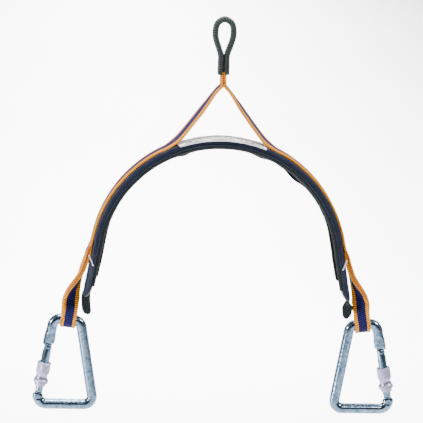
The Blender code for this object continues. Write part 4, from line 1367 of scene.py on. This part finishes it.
def rod_rows():
    """The rod's centre line from its nose round to the hinge, in even steps."""
    gate_top, spine_top, spine_base, gate_base = carabiner_corners()
    place = gate_place()
    nose = place @ Vector((0, 0, GATE_LENGTH + NOSE_GAP))
    shoulder = place @ Vector((0, 0, -GATE_RADIUS - NOSE_GAP))
    path = [
        nose,
        *bend(gate_top, nose, spine_top, GATE_TOP_BEND),
        *bend(spine_top, gate_top, spine_base, SPINE_BEND),
        *bend(spine_base, spine_top, gate_base, SPINE_BEND),
        *bend(gate_base, spine_base, shoulder, GATE_BASE_BEND),
        shoulder,
    ]
    return evenly([(p, 0.0, 0.0) for p in path], 1.0 * MM)


def rod_piece(name):
    """The forged rod: round, with a flattened nose and a flattened hinge end."""
    rows, step = rod_rows()
    path = [row[0] for row in rows]
    sides = 32
    length = (len(path) - 1) * step
    rings, along = [], []
    for i, (point, tangent) in enumerate(zip(path, tangents(path))):
        inward = tangent.cross(DEPTH)
        distance = i * step
        from_hinge = length - distance
        wide = 1 + 0.13 * (1 - ease(7 * MM, 15 * MM, distance))
        wide += 0.05 * (1 - ease(3 * MM, 8 * MM, from_hinge))
        round_end = 0.9 + 0.1 * math.sqrt(ease(0, 1.6 * MM, min(distance, from_hinge)))
        ring = []
        for k in range(sides):
            turn = 2 * math.pi * (k + 0.5) / sides
            plane = math.cos(turn) * ROD_RADIUS * wide * round_end
            depth = math.sin(turn) * ROD_RADIUS * round_end
            facet = distance - 0.75 * plane
            cut = 4.5 * MM + 2 * MM * ease(12.5 * MM, 14.5 * MM, facet)
            cut_hinge = 5.0 * MM + 1.5 * MM * ease(5 * MM, 7 * MM, from_hinge)
            limit = min(cut, cut_hinge)
            depth = max(-limit, min(limit, depth))
            ring.append(point + inward * plane + DEPTH * depth)
        rings.append(ring)
        along.append(distance)
    across = [k / sides * 38 * MM for k in range(sides + 1)]
    return lofted(name, rings, across, along, FINISHES["steel"], 32 * DEG)


def lip_piece(name):
    """The nose's outer lip, which runs down beside the gate's tip."""
    rings = []
    foot = GATE_LENGTH - 2.2 * MM
    stations = (
        (foot, 6.1, 22),
        (foot + 1.2 * MM, 6.7, 34),
        (GATE_LENGTH, 6.85, 42),
        (GATE_LENGTH + 4 * MM, 6.7, 46),
    )
    for z, outer, spread in stations:
        turns = [(-spread + 2 * spread * i / 8) * DEG for i in range(9)]
        ring = [Vector((outer * MM * math.cos(t), outer * MM * math.sin(t), z)) for t in turns]
        ring += [Vector((5.4 * MM * math.cos(t), 5.4 * MM * math.sin(t), z)) for t in turns[::-1]]
        rings.append(ring)
    return lofted(name, rings, [0] * 19, [0, 1 * MM, 4 * MM, 8 * MM], FINISHES["steel"])


def tongue_outlines():
    """The nose's hook inside the gate's tip, and the ear that the gate turns on."""
    shoulder = GATE_LENGTH + NOSE_GAP
    notch = 1.9 * MM
    foot = GATE_LENGTH - 8.9 * MM
    wide = 4.2 * MM
    nose = [
        (-wide, shoulder + 3 * MM),
        (-wide, LATCH_HEIGHT + notch),
        (notch, LATCH_HEIGHT + notch),
        (notch, LATCH_HEIGHT - notch),
        (-wide + MM, LATCH_HEIGHT - notch),
        (-wide + MM, foot),
        (wide - MM, foot),
        (wide, foot + MM),
        (wide, shoulder + 3 * MM),
    ]
    ear = [(wide, -GATE_RADIUS - 3 * MM)]
    for i in range(17):
        turn = (-90 + 180 * i / 16) * DEG
        ear.append((-wide * math.sin(turn), wide * math.cos(turn)))
    ear.append((-wide, -GATE_RADIUS - 3 * MM))
    return nose, ear


def gate_piece(name):
    """The gate bar, domed at both ends, with its slots."""
    outline = [(0, -GATE_RADIUS)]
    for t in range(15, 91, 15):
        outline.append((GATE_RADIUS * math.sin(t * DEG), -GATE_RADIUS * math.cos(t * DEG)))
    dome = 2.6 * MM
    for t in (0, 20, 40, 60, 78):
        outline.append((GATE_RADIUS * math.cos(t * DEG), GATE_LENGTH - dome + dome * math.sin(t * DEG)))
    outline.append((0, GATE_LENGTH))
    gate = turned(name, outline, 40, FINISHES["steel"])
    wide = 2 * GATE_RADIUS
    tip_floor = GATE_LENGTH - 9.6 * MM
    for low, high in ((-wide, 6.5 * MM), (tip_floor, GATE_LENGTH + wide)):
        corners = [(-wide, low), (wide, low), (wide, high), (-wide, high)]
        combined(gate, prism("slot", corners, 2.4 * MM, FINISHES["steel"]), "DIFFERENCE")
    return gate


def pin_piece(name, height):
    """A peened pin through the gate, along Y."""
    end = [(0, 5.15), (0.9, 5.1), (1.7, 4.85), (1.85, 4.55), (1.5, 4.3)]
    outline = [(r * MM, -z * MM) for r, z in end] + [(r * MM, z * MM) for r, z in end[::-1]]
    pin = turned(name, outline, 24, FINISHES["pin"])
    pin.data.transform(Matrix.Translation((0, 0, height)) @ Matrix.Rotation(math.pi / 2, 4, "X"))
    return pin


def lock_sleeve_piece(name):
    """The lock sleeve: a knurled grip, a smooth waist, a narrow knurled rim and a skirt."""
    sizes = bpy.context.scene.yoke_sizes
    foot = 4.2 * MM
    top = foot + 28.6 * MM
    grip, waist, rim = 7.9 * MM, 6.5 * MM, 8.5 * MM
    bore = GATE_RADIUS + 0.4 * MM
    number = round(2 * math.pi * grip / sizes.knurl_pitch)

    def rows(radius, low, high):
        count = round((high - low) / (0.3 * MM))
        return [(radius, low + (high - low) * i / count) for i in range(count + 1)]

    bands = ((foot + 4.3 * MM, foot + 7.3 * MM), (foot + 16 * MM, top - 2.4 * MM))
    outline = [
        (bore, foot),
        (waist - 0.5 * MM, foot),
        (waist - 0.1 * MM, foot + 0.4 * MM),
        (waist, foot + 3.0 * MM),
        (rim - 0.7 * MM, foot + 3.6 * MM),
        *rows(rim - 0.3 * MM, *bands[0]),
        (rim - 0.7 * MM, foot + 7.9 * MM),
    ]
    for i in range(9):
        t = i / 8
        outline.append((waist + (0.9 * MM) * (2 * t - 1) ** 2, foot + 8.6 * MM + t * 6.6 * MM))
    outline += [
        *rows(grip - 0.3 * MM, *bands[1]),
        (grip - 0.1 * MM, top - 2.1 * MM),
        (grip + 0.15 * MM, top - 1.6 * MM),
        (grip + 0.1 * MM, top - 0.9 * MM),
        (grip - 0.5 * MM, top - 0.2 * MM),
        (grip - 1.2 * MM, top),
        (bore + 0.3 * MM, top),
        (bore, top - 0.4 * MM),
    ]

    def relief(turn, height, radius):
        inside = any(low - 1e-6 <= height <= high + 1e-6 for low, high in bands)
        if not inside or radius < waist + 0.5 * MM:
            return 0
        first = (turn * number / (2 * math.pi) + height / sizes.knurl_pitch) % 1
        second = (turn * number / (2 * math.pi) - height / sizes.knurl_pitch) % 1
        return sizes.knurl_height * min(1 - abs(2 * first - 1), 1 - abs(2 * second - 1))

    return turned(name, outline, number * 8, FINISHES["knurled"], relief, 25 * DEG)


class YOKE_OT_carabiners(bpy.types.Operator):
    """Forge both carabiners with their gates, pins and knurled lock sleeves"""

    bl_idname = "yoke.carabiners"
    bl_label = "Carabiners"

    def execute(self, context):
        for name, side in SIDES:
            half_turn = Matrix.Rotation(0 if side > 0 else math.pi, 4, "Z")
            hang = joint_place(f"{name}_carabiner_swing")
            body_place = Matrix.Translation(hang) @ half_turn
            gate_frame = body_place @ gate_place()
            body = rod_piece(f"{name}_carabiner_rod")
            for outline in tongue_outlines():
                tongue = prism("tongue", outline, 2.0 * MM, FINISHES["steel"])
                tongue.data.transform(gate_place())
                combined(body, tongue, "UNION")
            lip = lip_piece("lip")
            lip.data.transform(gate_place())
            combined(body, lip, "UNION")
            body.data.set_sharp_from_angle(angle=32 * DEG)
            bar = gate_piece(f"{name}_gate_bar")
            hinge = pin_piece(f"{name}_hinge_rivet", 0)
            latch = pin_piece(f"{name}_latch_rivet", LATCH_HEIGHT)
            barrel = lock_sleeve_piece(f"{name}_lock_barrel")
            pieces = (
                (body, body_place, "carabiner", "carabiner_body", "zinc_plated_steel"),
                (bar, gate_frame, "gate", "gate", "zinc_plated_steel"),
                (hinge, gate_frame, "gate", "hinge_pin", "pin_steel"),
                (latch, gate_frame, "gate", "latch_pin", "pin_steel"),
                (barrel, gate_frame, "lock_sleeve", "lock_sleeve", "knurled_steel"),
            )
            for piece, place, body_name, node_name, record_slot in pieces:
                piece.data.transform(place)
                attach(piece, f"{name}_{body_name}")
                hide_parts(f"{name}_{node_name}")
            refinish("pin", *(f"{name}_{inner}" for inner in ("gate_plunger", "gate_spring", "stop_ring")))
        return {"FINISHED"}


# ---------------------------------------------------------------- stage


class YOKE_OT_stage(bpy.types.Operator):
    """Set up the pale floor, the soft lights and the camera"""

    bl_idname = "yoke.stage"
    bl_label = "Stage"

    def execute(self, context):
        scene = context.scene
        floor_size, floor_gap = 80.0, 0.35
        floor_place = (0, 0, CAD_BOUNDS[0][2] - floor_gap)
        bpy.ops.mesh.primitive_plane_add(size=floor_size, location=floor_place)
        floor = context.object
        floor.name = "floor"
        material, tree, shader = new_finish("matt_white_board", 0.9)
        board = two_tone(tree, fibres(tree, 3.0), 0, 1, rgba(linear("#FCFCFC")), rgba(linear("#FFFFFF")))
        tree.links.new(board, shader.inputs["Base Color"])
        floor.data.materials.append(material)

        world = bpy.data.worlds.new("studio")
        world.use_nodes = True
        tree = world.node_tree
        sky = tree.nodes["Background"]
        way = node(tree, "SeparateXYZ", {0: node(tree, "TexCoord", out="Generated")}, out="Y")
        shade = node(tree, "MapRange", {0: way, 1: -0.9, 2: 0.5, 3: 0.1, 4: 0.75})
        sky.inputs["Color"].default_value = (1.0, 1.0, 1.0, 1.0)
        tree.links.new(shade, sky.inputs["Strength"])
        scene.world = world

        aim = Vector((0, 0, -0.25))
        lights = (
            ("key", Vector((2.3, -0.7, 1.75)), 0.9, 120.0),
            ("side", Vector((-2.2, -0.9, 0.5)), 0.4, 75.0),
            ("front", Vector((0.5, -3.4, 2.6)), 0.8, 45.0),
            ("low", Vector((-1.2, -0.6, -0.62)), 0.25, 12.0),
            ("top", Vector((-0.3, 0.0, 2.2)), 1.2, 190.0),
        )
        for name, place, width, power in lights:
            lamp = bpy.data.lights.new(name, "AREA")
            lamp.shape = "DISK"
            lamp.size = width
            lamp.energy = power
            item = bpy.data.objects.new(name, lamp)
            item.location = place
            item.rotation_euler = (aim - place).to_track_quat("-Z", "Y").to_euler()
            scene.collection.objects.link(item)
        for number, away in enumerate((1.6, 3.2, 4.8, 6.4, 8.0)):
            lamp = bpy.data.lights.new(f"floor_wash_{number}", "SPOT")
            lamp.energy = 900.0
            lamp.spot_size = 120 * DEG
            lamp.spot_blend = 1.0
            lamp.shadow_soft_size = 0.5
            item = bpy.data.objects.new(lamp.name, lamp)
            item.location = (0, away, floor.location.z + 1.6)
            scene.collection.objects.link(item)

        azimuth, elevation, roll = -3.2 * DEG, 11 * DEG, 1.73 * DEG
        distance, view_width = 3.0, 481.4 * MM
        aside, raised = 8.4 * MM, 8.5 * MM
        aim = Vector((0, 0, -0.225))
        back = Vector(
            (
                math.sin(azimuth) * math.cos(elevation),
                -math.cos(azimuth) * math.cos(elevation),
                math.sin(elevation),
            )
        )
        turn = (-back).to_track_quat("-Z", "Y").to_matrix() @ Matrix.Rotation(roll, 3, "Z")
        right = turn @ Vector((1, 0, 0))
        up = turn @ Vector((0, 1, 0))
        place = aim + back * distance - right * aside + up * raised
        lens = bpy.data.cameras.new("camera")
        lens.sensor_width = 36
        lens.lens = 36 * distance / view_width
        lens.clip_end = 50
        camera = bpy.data.objects.new("camera", lens)
        camera.matrix_world = Matrix.Translation(place) @ turn.to_4x4()
        scene.collection.objects.link(camera)
        scene.camera = camera
        return {"FINISHED"}


OPERATORS = (
    YOKE_OT_stage,
    YOKE_OT_eye,
    YOKE_OT_slings,
    YOKE_OT_end_straps,
    YOKE_OT_cover,
    YOKE_OT_binding,
    YOKE_OT_closure,
    YOKE_OT_label,
    YOKE_OT_tails,
    YOKE_OT_carabiners,
)


class YOKE_PT_panel(bpy.types.Panel):
    """The yoke's sizes, colours and operators"""

    bl_idname = "YOKE_PT_panel"
    bl_label = "Spreader yoke"
    bl_space_type = "VIEW_3D"
    bl_region_type = "UI"
    bl_category = "Yoke"

    def draw(self, context):
        for group in (context.scene.yoke_sizes, context.scene.yoke_colours):
            for name in group.__annotations__:
                self.layout.prop(group, name)
        for operator in OPERATORS:
            self.layout.operator(operator.bl_idname)


CLASSES = (YokeSizes, YokeColours, *OPERATORS, YOKE_PT_panel)


def register():
    """Register the classes, and give the scene its sizes and colours."""
    for item in CLASSES:
        bpy.utils.register_class(item)
    bpy.types.Scene.yoke_sizes = bpy.props.PointerProperty(type=YokeSizes)
    bpy.types.Scene.yoke_colours = bpy.props.PointerProperty(type=YokeColours)


def unregister():
    """Take the sizes, the colours and the classes away again."""
    del bpy.types.Scene.yoke_colours
    del bpy.types.Scene.yoke_sizes
    for item in reversed(CLASSES):
        bpy.utils.unregister_class(item)


def main():
    """Make the yoke piece by piece."""
    register()
    make_finishes()
    for operator in OPERATORS:
        group, name = operator.bl_idname.split(".")
        getattr(getattr(bpy.ops, group), name)()


if __name__ == "__main__":
    main()
